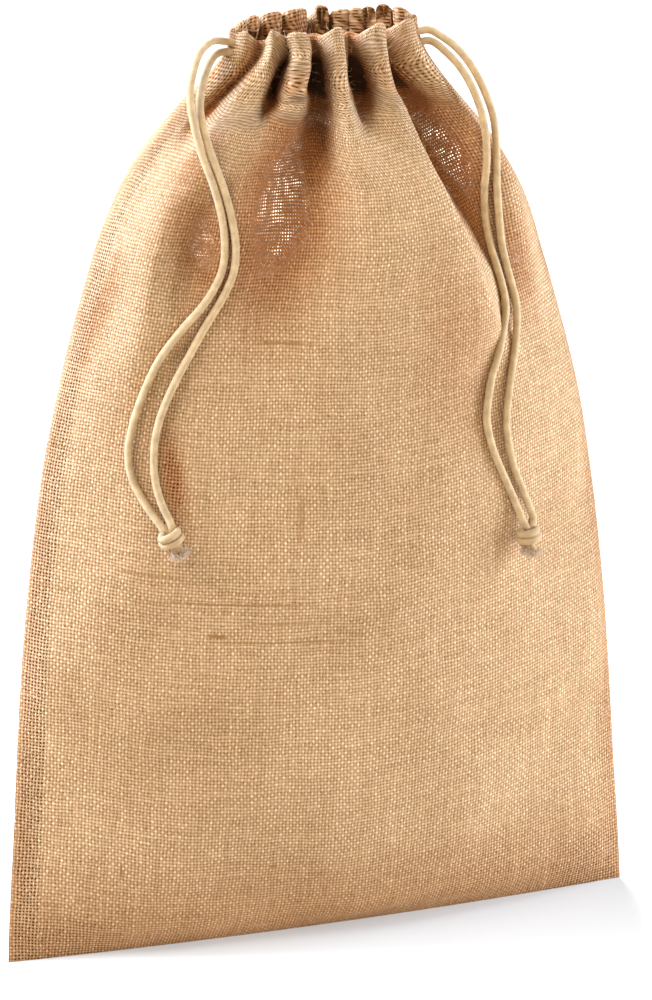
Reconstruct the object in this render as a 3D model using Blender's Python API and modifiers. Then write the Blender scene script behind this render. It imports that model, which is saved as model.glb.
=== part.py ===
"""Drawstring sack of plain-woven jute, standing filled, its mouth gathered by two drawcords.

Two cloth panels meet at the side seams and along the bottom. Each drawcord leaves the hem at
a side seam as two tails, which lie on the front panel and end in one overhand knot.

Metres, +Z up, X across the sack, the front faces -Y. The origin is the middle of the ground
that the sack's box covers.
"""

from collections import namedtuple
from math import pi

import bpy
import numpy as np
from mathutils import Vector

MM = 0.001

# Cloth
CLOTH_THICKNESS = 1.5 * MM
HEM_THICKNESS = 2.4 * MM
HEM_FOOT_HEIGHT = 397 * MM
SEAM_GAP = 0.3 * MM
SEAM_PLANE_Y = -15.75 * MM
LEAN = 0.015
RIM_HEIGHT = 418 * MM
COLUMNS = 44
ARC_SAMPLES = 800

# Heights at which the gathers change character
SINK_FOOT_HEIGHT = 345 * MM
RUFFLE_FOOT_HEIGHT = 362 * MM
LIFT_FOOT_HEIGHT = 385 * MM
NECK_HEIGHT = 388 * MM
GATHER_HEIGHT = 402 * MM
MOUTH_HEIGHT = 412 * MM

# How the gathers close
CLOSING_POWER = 0.75
DRIFT_BELOW_FOOT = 20 * MM
DRIFT_ABOVE_NECK = 10 * MM
GATHER_SINK = 6.2 * MM
RUFFLE_LIFT = 4.5 * MM
RUFFLE_REACH = 8.0 * MM
SEAM_CALM = 0.07

# Cords
CORD_DIAMETER = 3.4 * MM
CORD_POINTS = 22
CURVE_STEPS = 16

# The tables below describe the sack nearly upright. All of it then leans back by these shares
# of each point's height.
LEAN_BACK = 0.030
LEAN_RIGHT = 0.0103
LEAN_DROP = 0.0098

FRONT, BACK = -1, 1

# A row is one level of the filled sack, in millimetres. Roundness 2 gives a lens whose two
# sheets meet at a sharp seam, and 1 an ellipse.
Section = namedtuple("Section", "height half_width front_depth back_depth roundness drift")
SECTIONS = [
    Section(0.0, 147.8, 6.0, 40.0, 2.00, 0.0),
    Section(10.0, 147.4, 17.0, 44.5, 2.00, 0.0),
    Section(30.0, 146.2, 27.0, 49.0, 2.00, 0.0),
    Section(60.0, 144.0, 34.0, 53.0, 1.95, 0.0),
    Section(100.0, 141.5, 39.0, 56.5, 1.85, 0.0),
    Section(150.0, 137.5, 43.0, 58.5, 1.70, 0.0),
    Section(200.0, 131.5, 45.0, 58.5, 1.50, 0.0),
    Section(240.0, 124.8, 45.0, 57.0, 1.35, 0.0),
    Section(280.0, 114.5, 43.0, 53.0, 1.20, 0.0),
    Section(310.0, 105.8, 40.0, 48.0, 1.10, 0.0),
    Section(335.0, 97.5, 37.0, 43.0, 1.05, 0.0),
    Section(355.0, 87.0, 33.0, 38.0, 1.00, 0.0),
    Section(370.0, 76.5, 30.0, 34.0, 1.00, 0.0),
    Section(383.0, 65.5, 27.0, 30.0, 1.00, 0.5),
    Section(394.0, 56.0, 23.0, 25.0, 1.00, 1.5),
    Section(404.0, 48.0, 20.0, 21.0, 1.00, 3.0),
    Section(412.0, 44.0, 18.0, 19.0, 1.00, 4.0),
    Section(422.0, 43.0, 18.0, 19.0, 1.00, 4.0),
]

# A row is one fold. It begins at foot_z and has its full body at full_z. Places are fractions
# of the panel's width from the left seam, at the foot, the neck and the rim. A ridge has
# positive heights and a trough negative ones, at its body and at the rim. The reaches are how
# far it runs out to its left and right, at the foot and at the rim. Lengths in millimetres.
Fold = namedtuple(
    "Fold",
    "foot_z full_z foot neck rim body_height rim_height left_foot left_rim right_foot right_rim",
)
FRONT_FOLDS = {
    "left_flap": Fold(345, 385, 0.14, 0.100, 0.100, 2, 8, 10, 6.0, 12, 4.5),
    "left_hollow": Fold(285, 362, 0.22, 0.140, 0.190, -4, -1, 18, 5.0, 16, 4.0),
    "left_ridge": Fold(270, 362, 0.17, 0.200, 0.266, 6, 12, 22, 4.5, 14, 3.2),
    "narrow_gather": Fold(350, 380, 0.34, 0.358, 0.370, 4, 12, 12, 3.0, 9, 2.8),
    "main_trough": Fold(262, 362, 0.33, 0.445, 0.440, -11, -4, 34, 3.0, 15, 3.0),
    "middle_gather": Fold(352, 380, 0.53, 0.515, 0.520, 3, 13, 12, 3.8, 14, 4.2),
    "broad_ridge": Fold(225, 362, 0.60, 0.550, 0.520, 7, 0, 30, 8.0, 36, 12.0),
    "right_gather": Fold(345, 380, 0.68, 0.695, 0.690, 4, 13, 16, 4.6, 13, 3.2),
    "lapped_trough": Fold(255, 362, 0.86, 0.775, 0.785, -12, -5, 10, 2.6, 26, 4.0),
    "right_ridge": Fold(275, 362, 0.86, 0.885, 0.880, 5, 11, 14, 4.6, 14, 4.0),
}

# The back gathers run straight down. A row gives the place, the rim height and the foot.
Gather = namedtuple("Gather", "place rim_height foot_z")
BACK_GATHERS = [
    Gather(0.100, 9, 295),
    Gather(0.235, 11, 315),
    Gather(0.350, 12, 335),
    Gather(0.460, 12, 295),
    Gather(0.575, 12, 315),
    Gather(0.675, 11, 335),
    Gather(0.755, 10, 295),
    Gather(0.830, 11, 315),
    Gather(0.910, 9, 335),
]
GATHER_BODY_SHARE = 0.38
GATHER_FOOT_SPREAD = 0.95
GATHER_FULL_Z = 362
GATHER_FOOT_REACH = 15
GATHER_RIM_REACH = 3.1

# Levels of the cloth mesh in millimetres, closer together where it is gathered
LEVELS = (5, 12, 24, 42, 68, 100, 135, 170, 205, 238, 265, 288,
          308, 325, 340, 353, 364, 374, 383, 391, 399, 408, 418)

# Each tail's route from the hem to its knot, in millimetres
CORD_ROUTES = {
    "cord_left_a": [
        (-42.6, -10.85, 415), (-49, -14.45, 416), (-56, -20.45, 413), (-61, -26.45, 406),
        (-64, -31.45, 397), (-63.5, -34.95, 386), (-61, -37.95, 373), (-57, -40.85, 360),
        (-54, -42.85, 347), (-53, -44.45, 335), (-54, -45.45, 325), (-57, -45.45, 317),
        (-63, -45.45, 308), (-73, -44.45, 297), (-82, -42.85, 285), (-88, -40.95, 272),
        (-93, -39.95, 258), (-96, -39.85, 244), (-95, -40.95, 232), (-90.5, -44.25, 221),
        (-84.6, -49.45, 211.2),
    ],
    "cord_left_b": [
        (-43.6, -11.85, 410.4), (-49.5, -16.45, 408.5), (-55.5, -23.45, 401.5),
        (-59.3, -30.45, 392), (-58.8, -35.45, 381), (-55.8, -39.25, 369), (-52, -42.05, 356),
        (-49.5, -44.05, 344), (-48.5, -45.85, 333), (-49.5, -46.65, 323), (-52.5, -46.65, 315),
        (-57, -46.55, 307), (-63, -46.55, 298), (-69.5, -46.55, 287), (-76, -45.75, 275),
        (-81, -45.05, 264), (-84.5, -44.75, 253), (-86, -44.65, 242), (-85.8, -45.85, 231),
        (-83.8, -48.05, 221), (-80.6, -50.65, 212.6),
    ],
    "cord_right_a": [
        (51.6, -10.85, 412.6), (57.5, -12.45, 409.5), (63.5, -15.45, 404.5), (68.8, -19.45, 397),
        (73, -24.45, 387), (75.5, -29.95, 375.5), (75.5, -33.95, 362), (75, -36.25, 348),
        (76, -36.45, 334), (78, -35.65, 319), (81, -36.25, 306), (83.5, -37.25, 296),
        (84, -39.45, 286), (82, -42.65, 274), (79, -45.95, 262), (77, -47.75, 251),
        (76, -48.65, 241), (77.5, -48.65, 229), (81, -47.55, 217), (86, -46.75, 205),
        (89.4, -48.05, 194.6),
    ],
    "cord_right_b": [
        (52.3, -11.85, 407.8), (58, -15.95, 403.5), (63.5, -21.45, 396.5), (67.2, -27.25, 387.5),
        (69.5, -31.95, 377.5), (70, -35.45, 368), (70, -36.45, 357), (69.5, -35.45, 345),
        (70.5, -34.45, 332), (72.5, -34.75, 320.5), (75, -36.65, 310.5), (77.3, -38.35, 301),
        (78, -41.05, 292), (75.5, -44.85, 283), (72, -47.65, 272), (69, -48.85, 264),
        (66.5, -50.75, 254), (65.5, -51.45, 245), (67, -51.45, 236), (70, -50.65, 227),
        (75, -49.15, 216), (80.2, -48.25, 204.5), (84.3, -49.45, 193.8),
    ],
}

# Knots: centres, and the outline that is turned about the vertical, in millimetres
KNOT_CENTRES = {"knot_left": (-80.8, -51.75, 205.4), "knot_right": (86.6, -49.75, 187.0)}
KNOT_DEPTH_SHARE = 0.90
KNOT_STEPS = 16
MERGE_DISTANCE = 0.01 * MM
KNOT_OUTLINE = [
    (0.0, 6.4), (2.6, 6.0), (4.8, 4.4), (6.1, 1.8), (6.3, -0.8), (5.2, -3.6), (3.1, -5.4),
    (2.0, -6.1), (2.6, -7.6), (2.9, -9.0), (0.0, -9.4),
]

# Colours and surfaces: base colour, roughness
JUTE = ((0.56, 0.36, 0.19, 1.0), 0.92)
CORD_COTTON = ((0.72, 0.55, 0.31, 1.0), 0.85)
KNOT_COTTON = ((0.74, 0.58, 0.36, 1.0), 0.88)


def clear_scene():
    """Remove every object."""
    for scene_object in list(bpy.data.objects):
        bpy.data.objects.remove(scene_object, do_unlink=True)


def make_collection(name):
    """Return a new collection linked to the scene."""
    collection = bpy.data.collections.new(name)
    bpy.context.scene.collection.children.link(collection)
    return collection


def make_material(name, finish):
    """Return a matt material of one base colour and roughness."""
    colour, roughness = finish
    material = bpy.data.materials.new(name)
    material.use_nodes = True
    surface = material.node_tree.nodes["Principled BSDF"]
    surface.inputs["Base Color"].default_value = colour
    surface.inputs["Roughness"].default_value = roughness
    surface.inputs["Metallic"].default_value = 0.0
    return material


def ease(start, end, value):
    """Rise smoothly from 0 at start to 1 at end."""
    share = np.clip((value - start) / (end - start), 0.0, 1.0)
    return share * share * (3.0 - 2.0 * share)


def mix(first, second, share):
    """Blend two numbers."""
    return first + (second - first) * share


def lean_back(points):
    """Return points leaned back, in the same unit."""
    points = np.array(points, dtype=float)
    height = points[..., 2].copy()
    points[..., 0] += LEAN_RIGHT * height
    points[..., 1] += LEAN_BACK * height
    points[..., 2] -= LEAN_DROP * height
    return points


def section_value(height, column):
    """Read one column of the section table, in metres, on a smooth curve through its rows."""
    heights = np.array([row.height for row in SECTIONS]) * MM
    values = np.array([getattr(row, column) for row in SECTIONS])
    slopes = np.gradient(values, heights)
    place = int(np.clip(np.searchsorted(heights, height, "right") - 1, 0, len(heights) - 2))
    step = heights[place + 1] - heights[place]
    t = np.clip((height - heights[place]) / step, 0.0, 1.0)
    value = (
        (2 * t**3 - 3 * t**2 + 1) * values[place]
        + (t**3 - 2 * t**2 + t) * step * slopes[place]
        + (3 * t**2 - 2 * t**3) * values[place + 1]
        + (t**3 - t**2) * step * slopes[place + 1]
    )
    return value if column == "roundness" else value * MM


def back_fold(gather):
    """Return the full fold row of a back gather."""
    foot = 0.5 + (gather.place - 0.5) * GATHER_FOOT_SPREAD
    body = gather.rim_height * GATHER_BODY_SHARE
    return Fold(
        gather.foot_z, GATHER_FULL_Z, foot, gather.place, gather.place, body, gather.rim_height,
        GATHER_FOOT_REACH, GATHER_RIM_REACH, GATHER_FOOT_REACH, GATHER_RIM_REACH,
    )


def fold_height(fold, height, across, width):
    """Return how far one fold lifts the cloth, at fractions across a level of a given width."""
    foot_z = fold.foot_z * MM
    if height <= foot_z:
        return np.zeros_like(across)
    if height < NECK_HEIGHT:
        drift = ease(foot_z - DRIFT_BELOW_FOOT, NECK_HEIGHT + DRIFT_ABOVE_NECK, height)
        place = mix(fold.foot, fold.neck, drift)
    else:
        rise = (height - NECK_HEIGHT) / (MOUTH_HEIGHT - NECK_HEIGHT)
        place = mix(fold.neck, fold.rim, np.clip(rise, 0.0, 1.0))
    closing = ease(foot_z, GATHER_HEIGHT, height) ** CLOSING_POWER
    left = mix(fold.left_foot, fold.left_rim, closing) * MM
    right = mix(fold.right_foot, fold.right_rim, closing) * MM
    body = fold.body_height * ease(foot_z, fold.full_z * MM, height)
    swell = ease(RUFFLE_FOOT_HEIGHT, GATHER_HEIGHT, height)
    ruffle = (fold.rim_height - fold.body_height) * swell
    offset = (across - place) * width
    reach = np.where(offset < 0.0, left, right)
    return (body + ruffle) * MM * np.exp(-((offset / reach) ** 2))


def cloth_level(height, side, folds):
    """Return one level of a panel as evenly spaced points from the left seam to the right."""
    turn = np.linspace(0.0, pi, ARC_SAMPLES)
    depth = section_value(height, "front_depth" if side == FRONT else "back_depth")
    x = section_value(height, "drift") - section_value(height, "half_width") * np.cos(turn)
    y = side * depth * np.sin(turn) ** section_value(height, "roundness")
    arc = np.concatenate([[0.0], np.cumsum(np.hypot(np.diff(x), np.diff(y)))])
    across = arc / arc[-1]
    slope_x, slope_y = np.gradient(x), np.gradient(y)
    length = np.hypot(slope_x, slope_y)
    calm = ease(0.0, SEAM_CALM, across) * ease(0.0, SEAM_CALM, 1.0 - across)
    lift = sum(fold_height(fold, height, across, arc[-1]) for fold in folds)
    lift = (lift - GATHER_SINK * ease(SINK_FOOT_HEIGHT, GATHER_HEIGHT, height)) * calm
    x = x - side * slope_y / length * lift
    y = y + side * slope_x / length * lift
    rise = RUFFLE_LIFT * ease(LIFT_FOOT_HEIGHT, RIM_HEIGHT, height)
    ruffle = rise * np.clip(lift / RUFFLE_REACH, -1, 1)
    cloth = np.concatenate([[0.0], np.cumsum(np.hypot(np.diff(x), np.diff(y)))])
    even = np.linspace(0.0, cloth[-1], COLUMNS + 1)
    half_gap = 0.5 * (CLOTH_THICKNESS + SEAM_GAP)
    y_even = side * np.maximum(side * np.interp(even, cloth, y), half_gap)
    return np.stack(
        [
            np.interp(even, cloth, x),
            y_even + SEAM_PLANE_Y + LEAN * height,
            height + np.interp(even, cloth, ruffle),
        ],
        axis=1,
    )


def panel_sheet(side, folds):
    """Return a panel's middle surface, level by level, with its strip on the ground first."""
    base_edge = cloth_level(0.0, side, folds)
    seam = base_edge.copy()
    seam[:, 1] = SEAM_PLANE_Y + side * 0.5 * SEAM_GAP
    levels = [seam, base_edge] + [cloth_level(level * MM, side, folds) for level in LEVELS]
    sheet = np.stack(levels)
    sheet[:2, :, 2] = 0.5 * CLOTH_THICKNESS
    return sheet


def outward_normals(sheet, side):
    """Return the unit normals of a sheet, pointing out of the sack."""
    across = np.gradient(sheet, axis=1)
    upward = np.gradient(sheet, axis=0)
    normals = np.cross(across, upward) * -side
    return normals / np.linalg.norm(normals, axis=2, keepdims=True)


def sheet_faces(outer, inner, side):
    """Return the faces of a closed sheet from its outer and inner grids of vertex numbers."""
    faces = []
    rows, columns = outer.shape
    for row in range(rows - 1):
        for column in range(columns - 1):
            for grid, outside in ((outer, True), (inner, False)):
                corners = [
                    grid[row, column], grid[row, column + 1],
                    grid[row + 1, column + 1], grid[row + 1, column],
                ]
                faces.append(corners if outside == (side == FRONT) else corners[::-1])
    rim = (
        [(row, 0) for row in range(rows)]
        + [(rows - 1, column) for column in range(1, columns)]
        + [(row, columns - 1) for row in range(rows - 2, -1, -1)]
        + [(0, column) for column in range(columns - 2, 0, -1)]
    )
    for first, second in zip(rim, rim[1:] + rim[:1]):
        edge = [outer[first], outer[second], inner[second], inner[first]]
        faces.append(edge if side == FRONT else edge[::-1])
    return faces


def make_mesh_object(name, vertices, faces, material, collection):
    """Link a new object with the given mesh and material."""
    mesh = bpy.data.meshes.new(name)
    mesh.from_pydata([tuple(vertex) for vertex in vertices], [], faces)
    mesh.materials.append(material)
    mesh.validate()
    mesh_object = bpy.data.objects.new(name, mesh)
    collection.objects.link(mesh_object)
    return mesh_object


def make_panel(name, side, folds, material, collection):
    """Build one cloth panel as a closed sheet, its hem thicker and its foot flat on the ground."""
    sheet = panel_sheet(side, folds)
    normals = outward_normals(sheet, side)
    heights = np.array([0.0, 0.0] + [level * MM for level in LEVELS])
    thickness = np.where(heights < HEM_FOOT_HEIGHT, CLOTH_THICKNESS, HEM_THICKNESS)
    half = 0.5 * thickness[:, None, None]
    outer, inner = sheet + normals * half, sheet - normals * half
    outer[:2, :, 2] = 0.0
    inner[:2, :, 2] = CLOTH_THICKNESS
    outer[0, :, 1] = sheet[0, :, 1]
    inner[0, :, 1] = sheet[0, :, 1]
    seam_plane = SEAM_PLANE_Y + LEAN * heights[:, None] + side * 0.5 * SEAM_GAP
    for grid in (outer, inner):
        grid[:, :, 1] = side * np.maximum(side * grid[:, :, 1], side * seam_plane)
        grid[:, :, 2] = np.maximum(grid[:, :, 2], 0.0)
    rows, columns = sheet.shape[:2]
    numbers = np.arange(rows * columns).reshape(rows, columns)
    faces = sheet_faces(numbers, numbers + rows * columns, side)
    faces = [[int(corner) for corner in face] for face in faces]
    vertices = lean_back(np.concatenate([outer.reshape(-1, 3), inner.reshape(-1, 3)]))
    panel = make_mesh_object(name, vertices, faces, material, collection)
    panel.data.shade_smooth()
    return panel


def smooth_route(points, count):
    """Return evenly spaced points on a smooth curve through a route."""
    route = [Vector(points[0])] + [Vector(point) for point in points] + [Vector(points[-1])]
    curve = []
    for a, b, c, d in zip(route, route[1:], route[2:], route[3:]):
        for step in range(CURVE_STEPS):
            t = step / CURVE_STEPS
            curve.append(
                0.5 * (2 * b + (c - a) * t + (2 * a - 5 * b + 4 * c - d) * t**2
                       + (3 * b - a - 3 * c + d) * t**3)
            )
    curve.append(route[-1])
    steps = [(after - before).length for before, after in zip(curve, curve[1:])]
    travelled = np.concatenate([[0.0], np.cumsum(steps)])
    even = np.linspace(0.0, travelled[-1], count)
    columns = [np.interp(even, travelled, [point[axis] for point in curve]) for axis in range(3)]
    return np.stack(columns, axis=1)


def make_cord(name, points, material, collection):
    """Build one cord tail as a round tube along its route."""
    curve = bpy.data.curves.new(name, "CURVE")
    curve.dimensions = "3D"
    curve.bevel_depth = 0.5 * CORD_DIAMETER
    curve.bevel_resolution = 2
    curve.use_fill_caps = True
    spline = curve.splines.new("POLY")
    route = lean_back(smooth_route(points, CORD_POINTS)) * MM
    spline.points.add(len(route) - 1)
    for spline_point, place in zip(spline.points, route):
        spline_point.co = (*place, 1.0)
    curve.materials.append(material)
    cord = bpy.data.objects.new(name, curve)
    collection.objects.link(cord)
    return cord


def make_knot(name, centre, material, collection):
    """Build one overhand knot with its frayed ends, as a turned solid."""
    mesh = bpy.data.meshes.new(name)
    vertices = [(radius * MM, 0.0, height * MM) for radius, height in KNOT_OUTLINE]
    edges = [(place, place + 1) for place in range(len(vertices) - 1)]
    mesh.from_pydata(vertices, edges, [])
    mesh.materials.append(material)
    knot = bpy.data.objects.new(name, mesh)
    collection.objects.link(knot)
    knot.location = lean_back(centre) * MM
    knot.scale = (1.0, KNOT_DEPTH_SHARE, 1.0)
    turning = knot.modifiers.new("turning", "SCREW")
    turning.axis = "Z"
    turning.angle = 2.0 * pi
    turning.steps = KNOT_STEPS
    turning.render_steps = KNOT_STEPS
    turning.use_merge_vertices = True
    turning.merge_threshold = MERGE_DISTANCE
    turning.use_smooth_shade = True
    return knot


def build():
    """Build the sack."""
    clear_scene()
    parts = make_collection("jute_drawstring_sack")
    jute = make_material("jute", JUTE)
    cord_cotton = make_material("cord_cotton", CORD_COTTON)
    knot_cotton = make_material("knot_cotton", KNOT_COTTON)
    back_folds = [back_fold(gather) for gather in BACK_GATHERS]
    make_panel("front_panel", FRONT, list(FRONT_FOLDS.values()), jute, parts)
    make_panel("back_panel", BACK, back_folds, jute, parts)
    for name, points in CORD_ROUTES.items():
        make_cord(name, points, cord_cotton, parts)
    for name, centre in KNOT_CENTRES.items():
        make_knot(name, centre, knot_cotton, parts)


build()
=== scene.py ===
"""Drawstring jute sack: cloth, cords, knots and studio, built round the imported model.

Metres, +Z up, X across the sack, the front faces -Y. The tables of shapes are in millimetres.
"""

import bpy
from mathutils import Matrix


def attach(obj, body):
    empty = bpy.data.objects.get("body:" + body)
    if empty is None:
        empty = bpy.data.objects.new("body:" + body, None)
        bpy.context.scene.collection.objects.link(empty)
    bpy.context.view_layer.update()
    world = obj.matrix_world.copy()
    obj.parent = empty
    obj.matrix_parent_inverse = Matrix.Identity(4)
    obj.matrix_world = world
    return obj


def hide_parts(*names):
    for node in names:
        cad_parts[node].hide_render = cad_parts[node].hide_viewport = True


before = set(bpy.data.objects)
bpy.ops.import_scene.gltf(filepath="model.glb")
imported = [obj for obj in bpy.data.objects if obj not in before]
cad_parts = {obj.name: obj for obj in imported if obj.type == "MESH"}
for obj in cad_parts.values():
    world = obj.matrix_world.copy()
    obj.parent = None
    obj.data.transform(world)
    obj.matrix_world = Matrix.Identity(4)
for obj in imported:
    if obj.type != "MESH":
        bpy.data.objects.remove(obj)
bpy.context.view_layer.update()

import logging
from dataclasses import dataclass, field
from enum import Enum
from math import cos, pi, radians, sin, tau
from typing import NamedTuple, Sequence, Union

import bpy
import numpy as np
from mathutils import Vector

LOG = logging.getLogger("jute_sack")
MM = 0.001
BODY = "root"

Array = np.ndarray
Socket = bpy.types.NodeSocket
Tree = bpy.types.NodeTree
Material = bpy.types.Material
Piece = bpy.types.Object
Number = Union[float, Socket]
Span = tuple[float, float]
Point = tuple[float, float, float]
Colour = tuple[float, float, float, float]
Route = Sequence[Point]
Outputs = bpy.types.bpy_prop_collection


class Side(Enum):
    """The two panels, by the sign of the way they face along Y."""

    FRONT = -1
    BACK = 1


# --------------------------------------------------------------------------- shape of the cloth


class Section(NamedTuple):
    """One level of the filled sack.

    A roundness of 2 is a lens whose two sheets meet in a sharp seam, and 1 is an ellipse.
    """

    height: float
    half_width: float
    front_depth: float
    back_depth: float
    roundness: float
    drift: float


class FoldRow(NamedTuple):
    """A fold at one height.

    The place is a share of the panel's width from its left seam. A ridge lifts the cloth and
    a trough has a negative lift. The lap pushes the fold's crest sideways, to the right if
    positive, over the cloth beside it.
    """

    height: float
    place: float
    lift: float
    left: float
    right: float
    lap: float = 0.0


class BackGather(NamedTuple):
    """One of the even gathers of the back, which run straight down from the rim."""

    place: float
    lift: float
    reach: float
    foot: float

    def rows(self) -> tuple[FoldRow, ...]:
        """Turn the gather into rows.

        Returns:
            Its rows from the foot up.
        """
        shoulder, hem, rim = 372.0, 400.0, 418.0
        foot_spread, shoulder_lift, hem_lift = 0.95, 0.45, 0.95
        foot_reach, shoulder_reach, rim_reach = 15.0, 8.0, 0.95 * self.reach
        foot_place = 0.5 + (self.place - 0.5) * foot_spread
        return (
            FoldRow(self.foot, foot_place, 0.0, foot_reach, foot_reach),
            FoldRow(shoulder, self.place, shoulder_lift * self.lift, shoulder_reach, shoulder_reach),
            FoldRow(hem, self.place, hem_lift * self.lift, self.reach, self.reach),
            FoldRow(rim, self.place, self.lift, rim_reach, rim_reach),
        )


SECTIONS = tuple(
    Section(*row)
    for row in (
        (0.0, 147.8, 6.0, 40.0, 2.00, 0.0), (10.0, 147.4, 17.0, 44.5, 2.00, 0.0),
        (30.0, 146.2, 27.0, 49.0, 2.00, 0.0), (60.0, 144.0, 34.0, 53.0, 1.95, 0.0),
        (100.0, 141.5, 39.0, 56.5, 1.85, 0.0), (150.0, 137.5, 43.0, 58.5, 1.70, 0.0),
        (200.0, 131.5, 45.0, 58.5, 1.50, 0.0), (240.0, 124.8, 45.0, 57.0, 1.35, 0.0),
        (280.0, 114.5, 43.0, 53.0, 1.20, 0.0), (310.0, 105.8, 40.0, 48.0, 1.10, 0.0),
        (335.0, 97.5, 37.0, 43.0, 1.05, 0.0), (355.0, 87.0, 33.0, 38.0, 1.00, 0.0),
        (370.0, 76.5, 30.0, 34.0, 1.00, 0.0), (383.0, 65.5, 27.0, 30.0, 1.00, 0.5),
        (394.0, 56.0, 23.0, 25.0, 1.00, 1.5), (404.0, 48.0, 20.0, 21.0, 1.00, 3.0),
        (412.0, 44.0, 18.0, 19.0, 1.00, 4.0), (422.0, 43.0, 18.0, 19.0, 1.00, 4.0),
    )
)

FRONT_FOLD_ROWS = {
    "left_flap": (
        (362, 0.080, 0, 6, 6), (382, 0.055, 3, 5, 5), (396, 0.050, 5, 5, 5), (408, 0.062, 6, 5, 5),
        (418, 0.085, 7, 6, 5),
    ),
    "upper_crease": (
        (368, 0.093, 0, 4, 5), (376, 0.093, -2, 4, 5), (384, 0.095, -4, 4, 5), (393, 0.106, -5, 4, 5),
        (402, 0.134, -5, 4, 4.5), (411, 0.160, -4, 3.5, 4), (418, 0.165, -2, 3, 3),
    ),
    "left_ridge": (
        (250, 0.120, 0, 18, 12), (275, 0.125, 3, 17, 9), (305, 0.133, 5, 15, 7), (335, 0.138, 6, 14, 8),
        (358, 0.140, 6, 13, 14), (371, 0.152, 7, 12, 20), (382, 0.178, 8, 11, 17), (393, 0.196, 8, 11, 12),
        (402, 0.200, 9, 9, 11), (411, 0.212, 10, 6.5, 8), (418, 0.228, 11, 6, 5),
    ),
    "left_hollow": (
        (246, 0.215, 0, 14, 20), (275, 0.212, -3, 10, 18), (305, 0.208, -6, 8, 16), (331, 0.206, -6, 8, 15),
        (350, 0.215, -4, 9, 12), (366, 0.235, -1, 8, 8), (374, 0.240, 0, 8, 8),
    ),
    "left_gap": (
        (376, 0.290, 0, 5, 5), (382, 0.293, -3, 5, 5), (388, 0.306, -10, 6, 4.5),
        (394, 0.316, -17, 6.5, 3.8), (400, 0.312, -18, 6, 3.6), (407, 0.294, -12, 5, 3.4),
        (412, 0.276, -6, 4, 3), (418, 0.262, -3, 3, 3),
    ),
    "narrow_gather": (
        (374, 0.365, 0, 6, 6), (382, 0.365, 2, 5, 5), (391, 0.362, 4, 3.8, 4), (400, 0.353, 8, 3, 3.4),
        (408, 0.341, 10, 3.2, 3.4), (418, 0.326, 11, 3.6, 3.6),
    ),
    "main_trough": (
        (270, 0.350, 0, 30, 30), (295, 0.352, -2, 30, 28), (314, 0.368, -4, 28, 24),
        (325, 0.394, -6, 27, 20), (336, 0.424, -8, 26, 16), (348, 0.450, -10, 24, 11),
        (359, 0.474, -13, 21, 7), (370, 0.488, -16, 15, 5), (380, 0.488, -19, 10, 4),
        (387, 0.484, -20, 9, 3.4), (398, 0.474, -19, 9, 3.2), (407, 0.452, -14, 7, 3.4),
        (412, 0.432, -9, 5, 3.4), (418, 0.415, -3, 3, 3),
    ),
    "middle_gather": (
        (225, 0.620, 0, 46, 46), (250, 0.620, 2, 46, 46), (275, 0.620, 5, 42, 42), (303, 0.610, 7, 34, 36),
        (324, 0.590, 8, 28, 32, -1), (344, 0.565, 9, 17, 26, -2), (361, 0.545, 9, 10, 19, -2),
        (375, 0.530, 9, 6.5, 11, -1.5), (387, 0.517, 9, 4.8, 6), (398, 0.511, 9, 4.2, 5),
        (407, 0.502, 10, 4.4, 5), (418, 0.488, 11, 4.6, 5),
    ),
    "middle_gap": (
        (374, 0.592, 0, 5, 5), (379, 0.602, -4, 5, 5), (384, 0.620, -10, 5.5, 4.4),
        (390, 0.638, -17, 6.5, 3.6), (398, 0.645, -19, 7, 3.4), (406, 0.640, -14, 5.5, 3.4),
        (412, 0.626, -8, 4, 3.4), (418, 0.610, -4, 3, 3),
    ),
    "lapping_ridge": (
        (240, 0.830, 0, 26, 22), (270, 0.797, 3, 25, 12, 1), (297, 0.748, 6, 23, 6.5, 3),
        (327, 0.716, 8, 20, 5, 4), (345, 0.694, 8, 17, 4.6, 4), (358, 0.684, 8, 15, 4.6, 3),
        (373, 0.682, 8, 12, 6.5, 2), (389, 0.680, 9, 8, 9), (402, 0.682, 10, 5.5, 8.5),
        (412, 0.682, 11, 5, 6.5), (418, 0.680, 11, 5, 6),
    ),
    "lapped_trough": (
        (236, 0.865, 0, 12, 26), (270, 0.848, -4, 12, 24), (297, 0.828, -8, 10, 22),
        (320, 0.808, -12, 9, 20), (342, 0.790, -14, 9, 17), (360, 0.785, -15, 9, 14),
        (376, 0.795, -14, 9, 11), (390, 0.808, -12, 7, 8), (402, 0.800, -9, 5, 6), (410, 0.785, -6, 3.5, 4),
        (418, 0.775, -4, 3, 3),
    ),
    "right_ridge": (
        (268, 0.890, 0, 14, 12), (295, 0.892, 2, 13, 11), (325, 0.892, 4, 11, 10), (358, 0.888, 7, 9, 9),
        (376, 0.888, 8, 8, 8), (393, 0.884, 9, 7.5, 7.5), (406, 0.872, 9, 6.5, 7), (418, 0.852, 9, 6, 7),
    ),
}

FRONT_FOLDS = tuple(tuple(FoldRow(*row) for row in rows) for rows in FRONT_FOLD_ROWS.values())

BACK_GATHERS = tuple(
    BackGather(*row)
    for row in (
        (0.095, 8, 3.6, 300), (0.215, 11, 3.9, 322), (0.335, 13, 3.6, 338), (0.475, 13, 3.9, 300),
        (0.592, 12, 3.3, 318), (0.662, 10, 2.8, 336), (0.726, 11, 2.7, 300), (0.790, 10, 2.8, 322),
        (0.885, 11, 3.8, 310),
    )
)


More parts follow.
